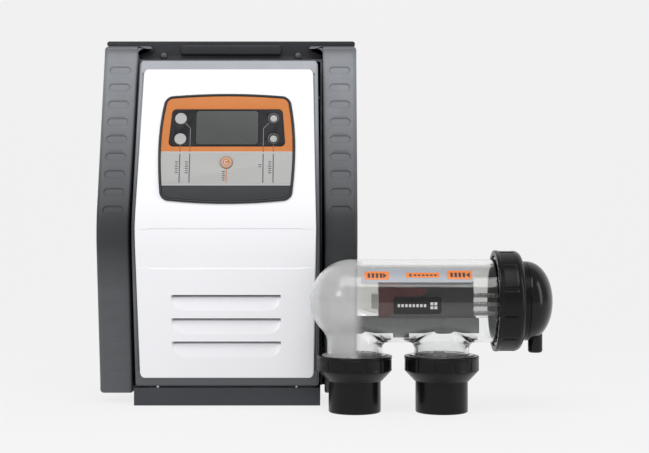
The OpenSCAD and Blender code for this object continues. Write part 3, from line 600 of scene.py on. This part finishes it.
def build_side_panel(side):
    """One side panel: the bent side view carried across, with rounded edges and sunk slots."""
    x0, x1, z0, z1, back = 112.0, 150.0, 11.6, 421.0, -12.2
    features = []
    for centre in UPPER_SLOTS + LOWER_SLOTS:
        features += list(np.arange(centre - SLOT_H / 2 - 0.8, centre + SLOT_H / 2 + 0.9, 0.4))
    zs = stations(z0 + 4, z1 - 5, 5, features + [BEND_Z], spread=0.01, fine=0.02)
    front = [(float(front_y(z)) + 20, z) for z in zs]
    low_y, high_y = front[0][0], front[-1][0]
    loop = arc(low_y + 3, z0 + 3, 3, 270, 190, 4) + front
    loop += arc(high_y + 4.4, z1 - 5, 5, 165, 90, 5)
    loop += [(y, z1) for y in np.linspace(high_y + 9, back, 5)]
    loop += [(back, z) for z in np.linspace(z1 - 8, z0 + 8, 12)]
    loop += [(y, z0) for y in np.linspace(back, low_y + 8, 5)]
    pts = np.array(loop)
    run = np.roll(pts, -1, 0) - np.roll(pts, 1, 0)
    normal = np.stack([-run[:, 1], run[:, 0]], 1) / np.linalg.norm(run, axis=1, keepdims=True)
    outward = normal if (normal[len(loop) // 4, 0] < 0) else -normal
    inner_r, outer_r = 2.4, 4.6
    turn = np.linspace(0, math.pi / 2, 7)
    xs = [x0 + inner_r * (1 - math.cos(a)) for a in turn] + list(
        stations(x0 + inner_r + 0.6, x1 - outer_r - 0.6, 4, np.arange(SLOT_X - 12.2, SLOT_X + 12.3, 0.5),
                 0.01, 0.02))
    xs += [x1 - outer_r * (1 - math.cos(a)) for a in turn[::-1]]
    loops = []
    for x in xs:
        away, r = (x - x0, inner_r) if x < SLOT_X else (x1 - x, outer_r)
        shrink = r - math.sqrt(max(r * r - (r - away) ** 2, 0)) if away < r else 0
        sunk = slot_depth(np.full(len(pts), x), pts[:, 1]) * (outward[:, 0] < -0.8)
        moved = pts - outward * (shrink + sunk)[:, None]
        inner = x0 - 2.4 * np.clip((moved[:, 1] - BEND_Z) / (z1 - BEND_Z), 0, 1)
        across = x1 - (x1 - x) * (x1 - inner) / (x1 - x0)
        loops.append([(side * u, y, z) for u, (y, z) in zip(across, moved)])
    name = "right_side_panel" if side > 0 else "left_side_panel"
    loft(name + "_moulding", loops, SIDE_GREY, "pack", stands_for=[name], slot="side_casing", sharp=50)
    outline = rounded([(111.5, 421), (93, 421), (93, 416.2), (106, 416.2), (111.5, 409)],
                      [0.3, 4.2, 1.2, 5, 0.3])
    slab(name + "_hook", outline, 36.4, 44.4, 1.6, lambda u, v, w: (side * u, -w, v), SIDE_GREY, "pack",
         slot="side_casing")


def build_rear():
    rounded_node("rear_housing", 0.9, REAR_BLACK, "pack")
    rounded_node("base_skirt", 2.2, SKIRT_GREY, "pack")
    rounded_node("wall_bracket", 0.4, STEEL, "pack")
    outline = rounded([(-60.3, 411.2), (60.3, 411.2), (60.3, 423.3), (-60.3, 423.3)], 3.5)
    slab("header_bar", outline, 35.6, 41.6, 1.8, lambda u, v, w: (u, -w, v), REAR_BLACK, "pack",
         slot="rear_casing")
    for side in (-1, 1):
        profile = [(0.01, 36), (4.5, 36)] + [(4.5 * math.cos(a),
                                              36 + 2.6 * math.sin(a)) for a in np.linspace(0.2, 1.5, 7)]
        loops = [[(side * 80.5 + r * math.cos(t), -s, 410.5 + r * math.sin(t))
                  for t in np.linspace(0, 2 * math.pi, 48, endpoint=False)] for r, s in profile]
        name = "header_screw_right" if side > 0 else "header_screw_left"
        loft(name, loops, SCREW_DARK, "pack", slot="screw_dark", stands_for=["header_screws"])


build_cover()
build_frame()
for hand in (-1, 1):
    build_side_panel(hand)
build_rear()

# ---------------------------------------------------------------- control panel
PANEL_Z = 295.3
TRAY_W, TRAY_H, RIM, CHIN_V, SPLIT_V, CORNER_R = 157.0, 133.0, 2.8, -45.2, -4.8, 9.0


def on_panel(u, v, w):
    """From the panel's frame (across, up the slope, outwards) to the pack's."""
    y = float(front_y(PANEL_Z))
    return (u, y + v * math.sin(UPPER) - w * math.cos(UPPER),
            PANEL_Z + v * math.cos(UPPER) + w * math.sin(UPPER))


def barrel(w, h):
    """A round-cornered box whose four sides bulge outwards."""
    r = CORNER_R - (TRAY_W - w) / 2
    signs = ((1, 1), (-1, 1), (-1, -1), (1, -1), (1, 1))
    out = []
    for i in range(4):
        c, d = (Vector((m * (w / 2 - r), n * (h / 2 - r))) for m, n in signs[i:i + 2])
        out += [c + r * Vector((math.cos(t), math.sin(t))) for t in np.linspace(i, i + 1, 11) * math.pi / 2]
        turn = (i + 1) * math.pi / 2
        out += [c.lerp(d, k / 14) + r * Vector((math.cos(turn), math.sin(turn))) for k in range(1, 14)]
    return [(p.x * (1 - (0.083 if p.y > 0 else 0.051) * (2 * p.y / h) ** 2),
             p.y * (1 - (0.055 if p.y > 0 else 0.069) * (2 * p.x / w) ** 2)) for p in out]


def barrel_band(w, h, v0, v1):
    """The part of a barrel between two heights."""
    out = barrel(w, h)
    for keep, level in ((1, v0), (-1, v1)):
        cut = []
        for i, q in enumerate(out):
            p = out[i - 1]
            p_in, q_in = keep * (p[1] - level) >= 0, keep * (q[1] - level) >= 0
            if p_in != q_in:
                cut.append((p[0] + (q[0] - p[0]) * (level - p[1]) / (q[1] - p[1]), level))
            if q_in:
                cut.append(q)
        out = cut
    return [p for i, p in enumerate(out) if math.dist(p, out[i - 1]) > 0.02]


def panel_strip(name, points, width, w0, w1, material, slot="fascia_print"):
    """A thin printed line along straight runs."""
    verts, faces = [], []
    for (u0, v0), (u1, v1) in zip(points, points[1:]):
        run = Vector((u1 - u0, v1 - v0)).normalized() * width / 2
        side = Vector((-run.y, run.x))
        start = len(verts)
        corners = [Vector((u0, v0)) - run * 0.5 - side, Vector((u1, v1)) + run * 0.5 - side,
                   Vector((u1, v1)) + run * 0.5 + side, Vector((u0, v0)) - run * 0.5 + side]
        verts += [on_panel(p.x, p.y, w) for w in (w0, w1) for p in corners]
        faces += [tuple(start + k for k in f) for f in
                  ((0, 3, 2, 1), (4, 5, 6, 7), (0, 1, 5, 4), (1, 2, 6, 5), (2, 3, 7, 6), (3, 0, 4, 7))]
    return piece(name, verts, faces, material, "pack", slot=slot)


def key(name, u, v, r, material, body, dish=0.0, ring=None):
    """A round key with a rolled edge, dished or crowned, over its stem."""
    top, low = 3.0, 1.5
    profile = [(0.01, low), (r - 0.3, low), (r, low + 0.3), (r, top - 0.7)]
    profile += arc(r - 0.7, top - 0.7, 0.7, 15, 90, 4)
    profile += [(r * k, top - dish * (1 - k * k)) for k in (0.75, 0.5, 0.25, 0.02)]
    loops = [[on_panel(u + q * math.cos(t), v + q * math.sin(t), s)
              for t in np.linspace(0, 2 * math.pi, 56, endpoint=False)] for q, s in profile]
    loft(name + "_cap", loops, material, body, stands_for=[name],
         slot="key_orange" if name == "centre_key" else "key_grey")
    if ring:
        profile = [(r + 0.4, 1.6), (ring, 1.6), (ring, 2.3), (ring - 0.35, 2.55), (r + 0.8, 2.55),
                   (r + 0.4, 2.3)]
        loops = [[on_panel(u + q * math.cos(t), v + q * math.sin(t), s)
                  for t in np.linspace(0, 2 * math.pi, 56, endpoint=False)] for q, s in profile]
        loft(name + "_ring", loops + [loops[0]], KEY_RING, "pack", caps=False, slot="dark_tray")


def flat_ring(name, u, v, r0, r1, w0, w1, material, body, a0=0, a1=360):
    """A thin flat ring, or part of one, on the panel."""
    turns = np.radians(np.linspace(a0, a1, 65))
    loops = [[on_panel(u + r * math.cos(t), v + r * math.sin(t), w) for r,
              w in ((r0, w0), (r1, w0), (r1, w1), (r0, w1))]
             for t in turns]
    loft(name, loops, material, body, caps=a1 - a0 < 360, slot="fascia_print")


def build_centre_key(v):
    """The centre key: a silver cap with an orange ring, an orange disc and a small turned-arrow mark."""
    key("centre_key", 0, v, 7.0, SILVER, "centre_key", dish=0)
    flat_ring("centre_key_rim", 0, v, 5.5, 6.6, 2.95, 3.1, ORANGE, "centre_key")
    flat_ring("centre_key_disc", 0, v, 0.05, 4.3, 2.95, 3.1, ORANGE, "centre_key")
    flat_ring("centre_key_mark", 0, v, 1.7, 2.7, 3.05, 3.18, LINE_LIGHT, "centre_key", 60, 330)


def build_panel():
    rim_loops = []
    for inset, w in [(0, -5.5), (0, 1.3), (0.15, 1.85), (0.6, 2.25), (1.1, 2.4), (RIM - 1.0, 2.4),
                     (RIM - 0.35, 2.15), (RIM, 1.5), (RIM, 0.5)]:
        rim_loops.append([on_panel(u, v, w) for u, v in barrel(TRAY_W - 2 * inset, TRAY_H - 2 * inset)])
    loft("tray_moulding", rim_loops, TRAY, "pack", stands_for=["keypad_tray"], slot="dark_tray")
    inner_w, inner_h = TRAY_W - 2 * RIM - 0.3, TRAY_H - 2 * RIM - 0.3
    slab("tray_chin", barrel_band(inner_w, inner_h, -inner_h / 2, CHIN_V - 0.3), 0.3, 1.7, 0.4, on_panel,
         CHIN, "pack", slot="dark_tray")
    split_z = (PACK + Vector(on_panel(0, SPLIT_V, 1.5)) * MM).z
    rounded_node("fascia_overlay", 0.15, printed_film(split_z), "pack")
    half = inner_w / 2 - 1
    panel_strip("fascia_split", [(-half, SPLIT_V), (half, SPLIT_V)], 0.9, 1.4, 1.62, LINE_LIGHT)
    panel_strip("fascia_foot", [(-half + 1.6, CHIN_V + 0.6), (half - 1.6, CHIN_V + 0.6)], 0.9, 1.4, 1.62,
                LINE_LIGHT)
    rounded_node("display_panel", 0.3, WINDOW, "pack")
    slab("lcd_pane", rounded([(-35.7, 4.1), (35.7, 4.1), (35.7, 45.1), (-35.7, 45.1)], 3.5), 1.0, 2.2, 0.3,
         on_panel, LCD, "pack", stands_for=["lcd_glass"], slot="lcd")
    left_u, right_u, upper_v, lower_v, centre_v = -53.5, 53.4, 35.6, 10.8, -17.6
    key("upper_left_key", left_u, upper_v, 6.8, KEY, "upper_left_key", dish=0.4)
    key("lower_left_key", left_u, lower_v, 6.8, KEY, "lower_left_key", dish=0.4)
    key("upper_right_key", right_u, upper_v, 4.1, KEY, "upper_right_key", dish=-0.2, ring=7.0)
    key("lower_right_key", right_u, lower_v, 4.1, KEY, "lower_right_key", dish=-0.2, ring=7.0)
    build_centre_key(centre_v)
    foot_v = -41.5
    routes = {
        "lead_a": [(left_u + 5.4, upper_v - 5.4), (-42.2, upper_v - 11.8), (-42.2, foot_v)],
        "lead_b": [(left_u, lower_v - 7.4), (left_u, foot_v)],
        "lead_c": [(right_u - 5.6, upper_v - 5.6), (41.8, upper_v - 11.8), (41.8, foot_v)],
        "lead_d": [(right_u, lower_v - 7.6), (right_u, foot_v)],
    }
    for name, route in routes.items():
        for part, (high, low, w, width, material) in {
            "window": (60, 2.2, 2.0, 0.75, LINE_GREY), "upper": (2.2, SPLIT_V, 1.5, 0.75, LINE_BROWN),
            "lower": (SPLIT_V - 2.6, -60, 1.5, 1.15, LINE_DARK),
        }.items():
            run = []
            for (u0, v0), (u1, v1) in zip(route, route[1:]):
                top, bottom = min(v0, high), max(v1, low)
                if top - bottom > 0.5:
                    for v in (top, bottom):
                        at = (u0 + (u1 - u0) * (v0 - v) / (v0 - v1), v)
                        if not run or math.dist(run[-1], at) > 0.01:
                            run.append(at)
            if len(run) > 1:
                panel_strip(f"{name}_{part}", run, width, w - 0.1, w + 0.12, material)
    panel_strip("lead_e", [(0, centre_v - 8.2), (0, foot_v)], 1.1, 1.4, 1.62, ORANGE)
    legends = {"a": (-57, -16.8, 6), "b": (-45.6, -16.8, 6), "c": (38.2, -20.2, 2), "d": (49.6, -16.8, 6),
               "e": (-3.2, -28.2, 5)}
    for name, (u, v, count) in legends.items():
        for k in range(count):
            at = v - k * 2.6
            long = 1.5 - 0.5 * (k % 3 == 1)
            panel_strip(f"legend_{name}_{k}", [(u - long, at), (u + long, at)], 1.1, 1.42, 1.58, LINE_DARK)


build_panel()

# ---------------------------------------------------------------- cell: clear housing
GLASS_R, GLASS_WALL, NECK_R, PORT_X, PORT_STEP = 46.0, 4.0, 30.5, 49.5, 96.4
GLASS_END, NECK_END, COLLAR_X = 226.0, -73.0, 205.0


def smooth_min(a, b, k):
    """The lower of two distances, with a fillet of about k where they meet."""
    h = np.clip(0.5 + 0.5 * (b - a) / k, 0, 1)
    return b + (a - b) * h - k * h * (1 - h)


def capsule(p, r):
    """Distance to the domed tube."""
    x = p[..., 0] - GLASS_R
    return np.sqrt(np.minimum(x, 0) ** 2 + p[..., 1] ** 2 + p[..., 2] ** 2) - r


def neck(p, at, r):
    """Distance to a port's neck, which starts at the axis."""
    ring = np.hypot(p[..., 0] - at, p[..., 1]) - r
    return np.maximum(ring, p[..., 2] + 10)


def housing_distance(p):
    """Distance to the housing's wall: the outside less the waterway."""
    outside, inside = capsule(p, GLASS_R), capsule(p, GLASS_R - GLASS_WALL)
    for at in (PORT_X, PORT_X + PORT_STEP):
        outside = smooth_min(outside, neck(p, at, NECK_R), 7)
        inside = smooth_min(inside, neck(p, at, NECK_R - GLASS_WALL), 4)
    collar = np.maximum(np.hypot(p[..., 1], p[..., 2]) - 50, COLLAR_X - p[..., 0])
    outside = np.minimum(outside, collar)
    for at in (PORT_X, PORT_X + PORT_STEP):
        thread = np.maximum(np.hypot(p[..., 0] - at, p[..., 1]) - 36, p[..., 2] + 59)
        outside = np.minimum(outside, thread)
    outside = np.maximum(outside, np.maximum(p[..., 0] - GLASS_END, NECK_END - p[..., 2]))
    return np.maximum(outside, -inside)


def implicit(name, distance, lo, hi, step, material, body, **more):
    """The surface where distance is 0, from a grid: one point a cell it crosses, drawn onto the surface."""
    axes = [np.arange(a, b + step, step) for a, b in zip(lo, hi)]
    grid = np.stack(np.meshgrid(*axes, indexing="ij"), -1)
    value = distance(grid)
    solid = value < 0
    cells = np.zeros(tuple(n - 1 for n in value.shape), int)
    for dx in (0, 1):
        for dy in (0, 1):
            for dz in (0, 1):
                cells += solid[dx:dx + cells.shape[0], dy:dy + cells.shape[1], dz:dz + cells.shape[2]]
    mixed = (cells > 0) & (cells < 8)
    index = -np.ones(mixed.shape, int)
    index[mixed] = np.arange(mixed.sum())
    points = grid[:-1, :-1, :-1][mixed] + step / 2
    for _ in range(8):
        d = distance(points)
        slope = np.stack([(distance(points + e) - distance(points - e)) / 0.04 for e in np.eye(3) * 0.02], -1)
        size = np.maximum((slope**2).sum(-1), 0.25)
        points = points - np.clip(d / size, -step, step)[:, None] * slope
    faces = []
    for axis in range(3):
        a = [slice(None)] * 3
        b = [slice(None)] * 3
        a[axis], b[axis] = slice(0, -1), slice(1, None)
        others = [k for k in range(3) if k != axis]
        crossed = solid[tuple(a)] != solid[tuple(b)]
        for k in others:
            cut = [slice(None)] * 3
            cut[k] = slice(1, -1)
            crossed = crossed[tuple(cut)]
        where = np.argwhere(crossed)
        for k in others:
            where[:, k] += 1
        corner = []
        for du, dv in ((0, 0), (1, 0), (1, 1), (0, 1)):
            at = where.copy()
            at[:, others[0]] -= du
            at[:, others[1]] -= dv
            corner.append(index[at[:, 0], at[:, 1], at[:, 2]])
        quads = np.stack(corner, 1)
        faces += [tuple(q) for q in quads if min(q) >= 0]
    return piece(name, points, faces, material, body, clean=False, **more)


def build_housing():
    obj = implicit("cell_housing_clear", housing_distance, (-2, -52, -76), (229, 52, 52), 1.6, GLASS, "cell",
                   origin=CELL, stands_for=["cell_housing"], slot="clear_glass", sharp=55)
    bm = bmesh.new()
    bm.from_mesh(obj.data)
    bmesh.ops.recalc_face_normals(bm, faces=bm.faces)
    bm.to_mesh(obj.data)
    bm.free()
    obj.data.shade_smooth()
    points = (np.array([v.co for v in obj.data.vertices]) - np.array(CELL)) / MM
    slope = np.stack([housing_distance(points + e) - housing_distance(points - e) for e in np.eye(3) * 0.05],
                     -1)
    slope /= np.maximum(np.linalg.norm(slope, axis=-1, keepdims=True), 1e-9)
    obj.data.normals_split_custom_set_from_vertices(slope.tolist())


# ---------------------------------------------------------------- cell: stickers and fittings
def sticker(name, x0, x1, z0, z1, r, corner, material, thick=0.3, body="cell", slot="label_grey", taper=None):
    """A patch on the front of the clear housing; taper(t, x0, x1) gives its two ends at height t."""
    half = (z1 - z0) / 2
    mid = (z0 + z1) / 2
    rows = stations(-half, half, 1.0, (-half, half))
    outline_right, outline_left = [], []
    for t in rows:
        gap = half - abs(t)
        cut = corner - math.sqrt(max(corner**2 - (corner - gap) ** 2, 0)) if gap < corner else 0
        a, b = x0 + cut, x1 - cut
        if taper:
            a, b = taper(t / half, x0, x1)
        outline_left.append(a)
        outline_right.append(b)
    cols = 9
    verts = []
    for level in (r, r + thick):
        for t, a, b in zip(rows, outline_left, outline_right):
            z = mid + t
            y = -math.sqrt(max(level * level - z * z * (level / r) ** 2, 0))
            verts += [(x, y, z * level / r) for x in np.linspace(a, b, cols)]
    count = len(rows) * cols
    faces = grid_faces(len(rows), cols) + grid_faces(len(rows), cols, start=count, flip=True)
    border = (list(range(cols)) + [i * cols + cols - 1 for i in range(1, len(rows))]
              + [(len(rows) - 1) * cols + j for j in range(cols - 2, -1, -1)]
              + [i * cols for i in range(len(rows) - 2, 0, -1)])
    faces += [(p, q, q + count, p + count) for p, q in zip(border, border[1:] + border[:1])]
    return piece(name, verts, faces, material, body, origin=CELL, slot=slot)


def arrow_head(direction):
    """A taper that points left (-1) or right (1)."""
    def taper(t, a, b):
        reach = (b - a) * (1 - abs(t))
        return (a, a + max(reach, 0.15)) if direction > 0 else (b - max(reach, 0.15), b)
    return taper


def build_labels():
    lo, hi = local("label_strip", CELL)
    strip = sticker("label_film", lo[0], hi[0], 21.8, 36.2, GLASS_R + 0.05, 3, LABEL)
    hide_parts("label_strip")
    ink = GLASS_R + 0.4
    patches = {"outlet": (lo[0] + 3.6, lo[0] + 30.3, 24.8, 33.4),
               "flow": (lo[0] + 48.4, lo[0] + 84.8, 26.9, 32.2),
               "inlet": (hi[0] - 28.4, hi[0] - 1.8, 25.3, 34.3)}
    for name, (x0, x1, z0, z1) in patches.items():
        sticker("label_" + name, x0, x1, z0, z1, ink, 1.6, LABEL_ORANGE, thick=0.12)
    top = ink + 0.13
    for name in ("outlet", "inlet"):
        x0, x1, z0, z1 = patches[name]
        z = (z0 + z1) / 2
        for i in range(4):
            x = x0 + 3.4 + i * 4.4
            sticker(f"label_{name}_bar_{i}", x, x + 2.8, z - 2.4, z + 2.4, top, 0.5, LABEL_INK, thick=0.08)
        sticker(f"label_{name}_arrow", x1 - 6.6, x1 - 2.2, z - 2.7, z + 2.7, top, 0.2, LABEL_INK, thick=0.08,
                taper=arrow_head(1 if name == "outlet" else -1))
    x0, x1, z0, z1 = patches["flow"]
    z = (z0 + z1) / 2
    sticker("label_flow_arrow", x0 + 2, x0 + 6, z - 1.8, z + 1.8, top, 0.2, LABEL_INK, thick=0.08,
            taper=arrow_head(-1))
    for i in range(6):
        x = x0 + 8.4 + i * 4.4
        sticker(f"label_flow_bar_{i}", x, x + 3, z - 0.8, z + 0.8, top, 0.3, LABEL_INK, thick=0.08)
    lo, hi = local("name_plate", CELL)
    film = sticker("name_plate_film", lo[0], hi[0], -12, 6.3, GLASS_R + 0.05, 3.2, PLATE_BLACK, thick=0.35,
                   slot="plate_black")
    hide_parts("name_plate")
    for i in range(8):
        x = lo[0] + 4.5 + i * 4.0
        sticker(f"name_plate_bar_{i}", x, x + 2.6, -4.4, -1.2, GLASS_R + 0.41, 0.4, PLATE_INK, thick=0.06,
                slot="plate_black")
    for i in range(2):
        for k in range(2):
            x, z = hi[0] - 12 + i * 4.2, -6.6 + k * 4.2
            sticker(f"name_plate_square_{i}{k}", x, x + 3.2, z, z + 3.2, GLASS_R + 0.41, 0.3, PLATE_INK,
                    thick=0.06,
                    slot="plate_black")


def facet_shape(flats, depth, groove, lo, hi):
    """Twelve flats with a groove between each pair, between the stations lo and hi."""
    pitch = 2 * math.pi / flats

    def shape(angle, r, s):
        if not lo <= s <= hi or r < 0.8 * shape.reach:
            return r
        t = ((angle + pitch / 2) % pitch) / pitch - 0.5
        away = (0.5 - abs(t)) * pitch * r
        flat = depth * (1 - (2 * abs(t)) ** 2) * 0.35
        fade = min(1, (s - lo) / 0.8, (hi - s) / 0.8)
        cut = groove * math.exp(-((away / 1.5) ** 2) * 1.6)
        return r - (flat + cut) * max(fade, 0)
    shape.reach = 1.0
    return shape


def build_ring():
    r, x0, side_end, x1, lip = 56.0, 203.4, 224.4, 232.6, 229.6
    profile = [(50.4, x0), (r - 0.8, x0), (r - 0.25, x0 + 0.25), (r, x0 + 0.8), (r, x0 + 3.6),
               (r - 0.5, x0 + 4.1)]
    profile += [(r - 0.1, x) for x in np.linspace(x0 + 4.5, side_end - 0.6, 24)]
    profile += [(r - 8.2 + 7.8 * math.cos(a), side_end + (x1 - side_end) * math.sin(a))
                for a in np.linspace(0.05, math.pi / 2, 12)]
    profile += [(44.7, x1), (44.7, lip), (50.4, lip)]
    shape = facet_shape(12, 1.5, 1.5, x0 + 4.2, side_end - 0.2)
    shape.reach = r
    turned("locking_ring_moulding", profile, BLACK, "locking_ring", shape=shape, count=288, origin=CELL,
           stands_for=["locking_ring"], slot="black_moulding", sharp=50)


def build_nut(side, at):
    r, top, side_end, low = 41.5, -60.4, -76.5, -88.0
    profile = [(36.5, top), (r - 1.4, top), (r - 0.4, top - 0.3), (r, top - 1.0), (r, top - 2.2),
               (r - 0.5, top - 2.7)]
    profile += [(r - 0.1, z) for z in np.linspace(top - 3.1, side_end + 0.8, 20)]
    profile += [(r - 0.4, side_end), (r - 1.4, side_end - 1.4), (r - 4.6, side_end - 4.8),
                (r - 9.2, side_end - 9.6)]
    profile += [(r - 10.4, low + 0.6), (r - 10.9, low), (29.5, low), (29.5, -79.5), (36.5, -79.5)]
    shape = facet_shape(12, 1.3, 1.4, side_end + 0.4, top - 2.8)
    shape.reach = r
    turned(f"{side}_union_nut_moulding", profile, BLACK, f"{side}_nut", axis="z", centre=(at, 0, 0),
           shape=shape,
           count=288, origin=CELL, stands_for=[f"{side}_union_nut"], slot="black_moulding", sharp=50)


def build_tail(side, at):
    low = -123.0
    profile = [(22, -73.7), (28.6, -73.7), (28.6, -76), (31.4, -76), (31.4, -73.7), (35.4, -73.7),
               (35.8, -74.1),
               (35.8, -78.6), (35.4, -79), (29, -79), (29, low + 1.6)]
    profile += [(29 - 1.6 * (1 - math.cos(a)), low + 1.6 * (1 - math.sin(a)))
                for a in np.linspace(0.3, math.pi / 2, 5)]
    profile += [(25.9, low), (25.1, low + 0.8), (25.1, low + 36), (22, low + 36)]
    turned(f"{side}_union_tail_moulding", profile, BLACK, f"{side}_tail", axis="z", centre=(at, 0, 0),
           count=160,
           origin=CELL, stands_for=[f"{side}_union_tail"], slot="black_moulding")


def build_terminal_cover():
    seam, end, r = 238.7, 268.0, 43.9
    outer = [(r - 0.5, seam), (r, seam + 0.5)]
    outer += [(r * math.cos(a) ** 0.95, seam + 0.5 + (end - seam - 0.5) * math.sin(a) ** 0.97)
              for a in np.linspace(0.06, math.pi / 2 - 0.02, 30)]
    profile = outer + [((r - 3.5) * math.cos(a), seam + (end - seam - 3.2) * math.sin(a))
                       for a in np.linspace(math.pi / 2 - 0.02, 0, 16)]
    turned("terminal_cover_moulding", profile, BLACK_GLOSS, "cell_head", count=160, origin=CELL,
           stands_for=["terminal_cover"], slot="black_moulding", sharp=50)
    x, top, low = 249.7, -30.0, -57.3
    stub = [(4.6, top), (8, top), (8, low + 3)] + [(8 - 2.6 + 2.6 * math.cos(a),
                                                    low + 2.8 - 2.8 * math.sin(a))
                                                  for a in np.linspace(0.2, math.pi / 2, 5)]
    stub += [(4.6, low)]
    turned("lead_outlet", stub, BLACK_GLOSS, "cell_head", axis="z", centre=(x, 0, 0), count=64, origin=CELL,
           slot="black_moulding")
    collar = [(r - 0.4, 229), (43.9, 229.4), (43.9, seam - 0.8), (43.4, seam - 0.3), (38, seam - 0.3),
              (38, 229)]
    turned("head_band", collar, BLACK, "cell_head", count=160, origin=CELL, slot="black_moulding")


def build_cell():
    build_housing()
    build_labels()
    build_ring()
    build_terminal_cover()
    for side, at in (("left", PORT_X), ("right", PORT_X + PORT_STEP)):
        build_nut(side, at)
        build_tail(side, at)
    rounded_node("plate_rail", 0.5, RAIL, "cell_head")


build_cell()


# ---------------------------------------------------------------- stage, light and camera
def build_stage():
    """A pale floor that curves up into a backdrop."""
    mat, _, shader = new_material("backdrop")
    shader.inputs["Base Color"].default_value = (0.12, 0.12, 0.12, 1)
    shader.inputs["Roughness"].default_value = 1.0
    shader.inputs["Specular IOR Level"].default_value = 0.0
    shader.inputs["Emission Color"].default_value = (1, 1, 1, 1)
    shader.inputs["Emission Strength"].default_value = 0.79
    profile = [(-4.0, 0.0), (0.9, 0.0)] + [(0.9 + 0.8 * math.sin(a), 0.8 * (1 - math.cos(a)))
                                          for a in np.linspace(0.1, math.pi / 2, 14)] + [(1.7, 4.0)]
    verts = [(x, y, z) for y, z in profile for x in (-5, 5)]
    mesh = bpy.data.meshes.new("floor")
    mesh.from_pydata(verts, [], grid_faces(len(profile), 2))
    mesh.materials.append(mat)
    mesh.shade_smooth()
    floor = bpy.data.objects.new("floor", mesh)
    bpy.context.scene.collection.objects.link(floor)


def area_light(name, place, aim, size, power, shape="RECTANGLE", size_y=None, colour=(1, 1, 1)):
    data = bpy.data.lights.new(name, "AREA")
    data.shape = shape
    data.size = size
    if shape == "RECTANGLE":
        data.size_y = size_y or size
    data.energy = power
    data.color = colour
    lamp = bpy.data.objects.new(name, data)
    lamp.location = place
    lamp.rotation_euler = (Vector(aim) - Vector(place)).to_track_quat("-Z", "Y").to_euler()
    bpy.context.scene.collection.objects.link(lamp)


def build_light():
    world = bpy.data.worlds.new("studio")
    bpy.context.scene.world = world
    world.use_nodes = True
    world.node_tree.nodes["Background"].inputs["Color"].default_value = (1, 1, 1, 1)
    world.node_tree.nodes["Background"].inputs["Strength"].default_value = 0.42
    area_light("top", (-0.15, -0.75, 1.25), (-0.08, -0.05, 0.3), 1.1, 9.0, size_y=0.7)
    area_light("front_left", (-1.2, -1.6, 0.9), (-0.05, 0, 0.2), 0.5, 5, shape="DISK")
    area_light("right_strip", (1.4, -0.6, 0.6), (0.2, 0, 0.15), 0.3, 5, size_y=1.3)


FOCAL_PX, HORIZON_PX, WIDTH_PX, HEIGHT_PX = 1240.0, 235.0, 649.0, 453.0
CAMERA_X, CAMERA_H, CAMERA_AWAY = 112.0, 196.0, 1376.0


def build_camera():
    """Level camera in front of the gap between the units, at the photograph's distance and height."""
    data = bpy.data.cameras.new("camera")
    data.sensor_width = 36
    data.lens = FOCAL_PX / WIDTH_PX * 36
    data.shift_y = (HORIZON_PX - HEIGHT_PX / 2) / WIDTH_PX
    data.clip_start = 0.01
    cam = bpy.data.objects.new("camera", data)
    cam.location = (PACK.x + CAMERA_X * MM, CELL.y - CAMERA_AWAY * MM, CAMERA_H * MM)
    cam.rotation_euler = (math.pi / 2, 0, 0)
    bpy.context.scene.collection.objects.link(cam)
    bpy.context.scene.camera = cam


build_stage()
build_light()
build_camera()
bpy.context.scene.view_settings.view_transform = "Standard"
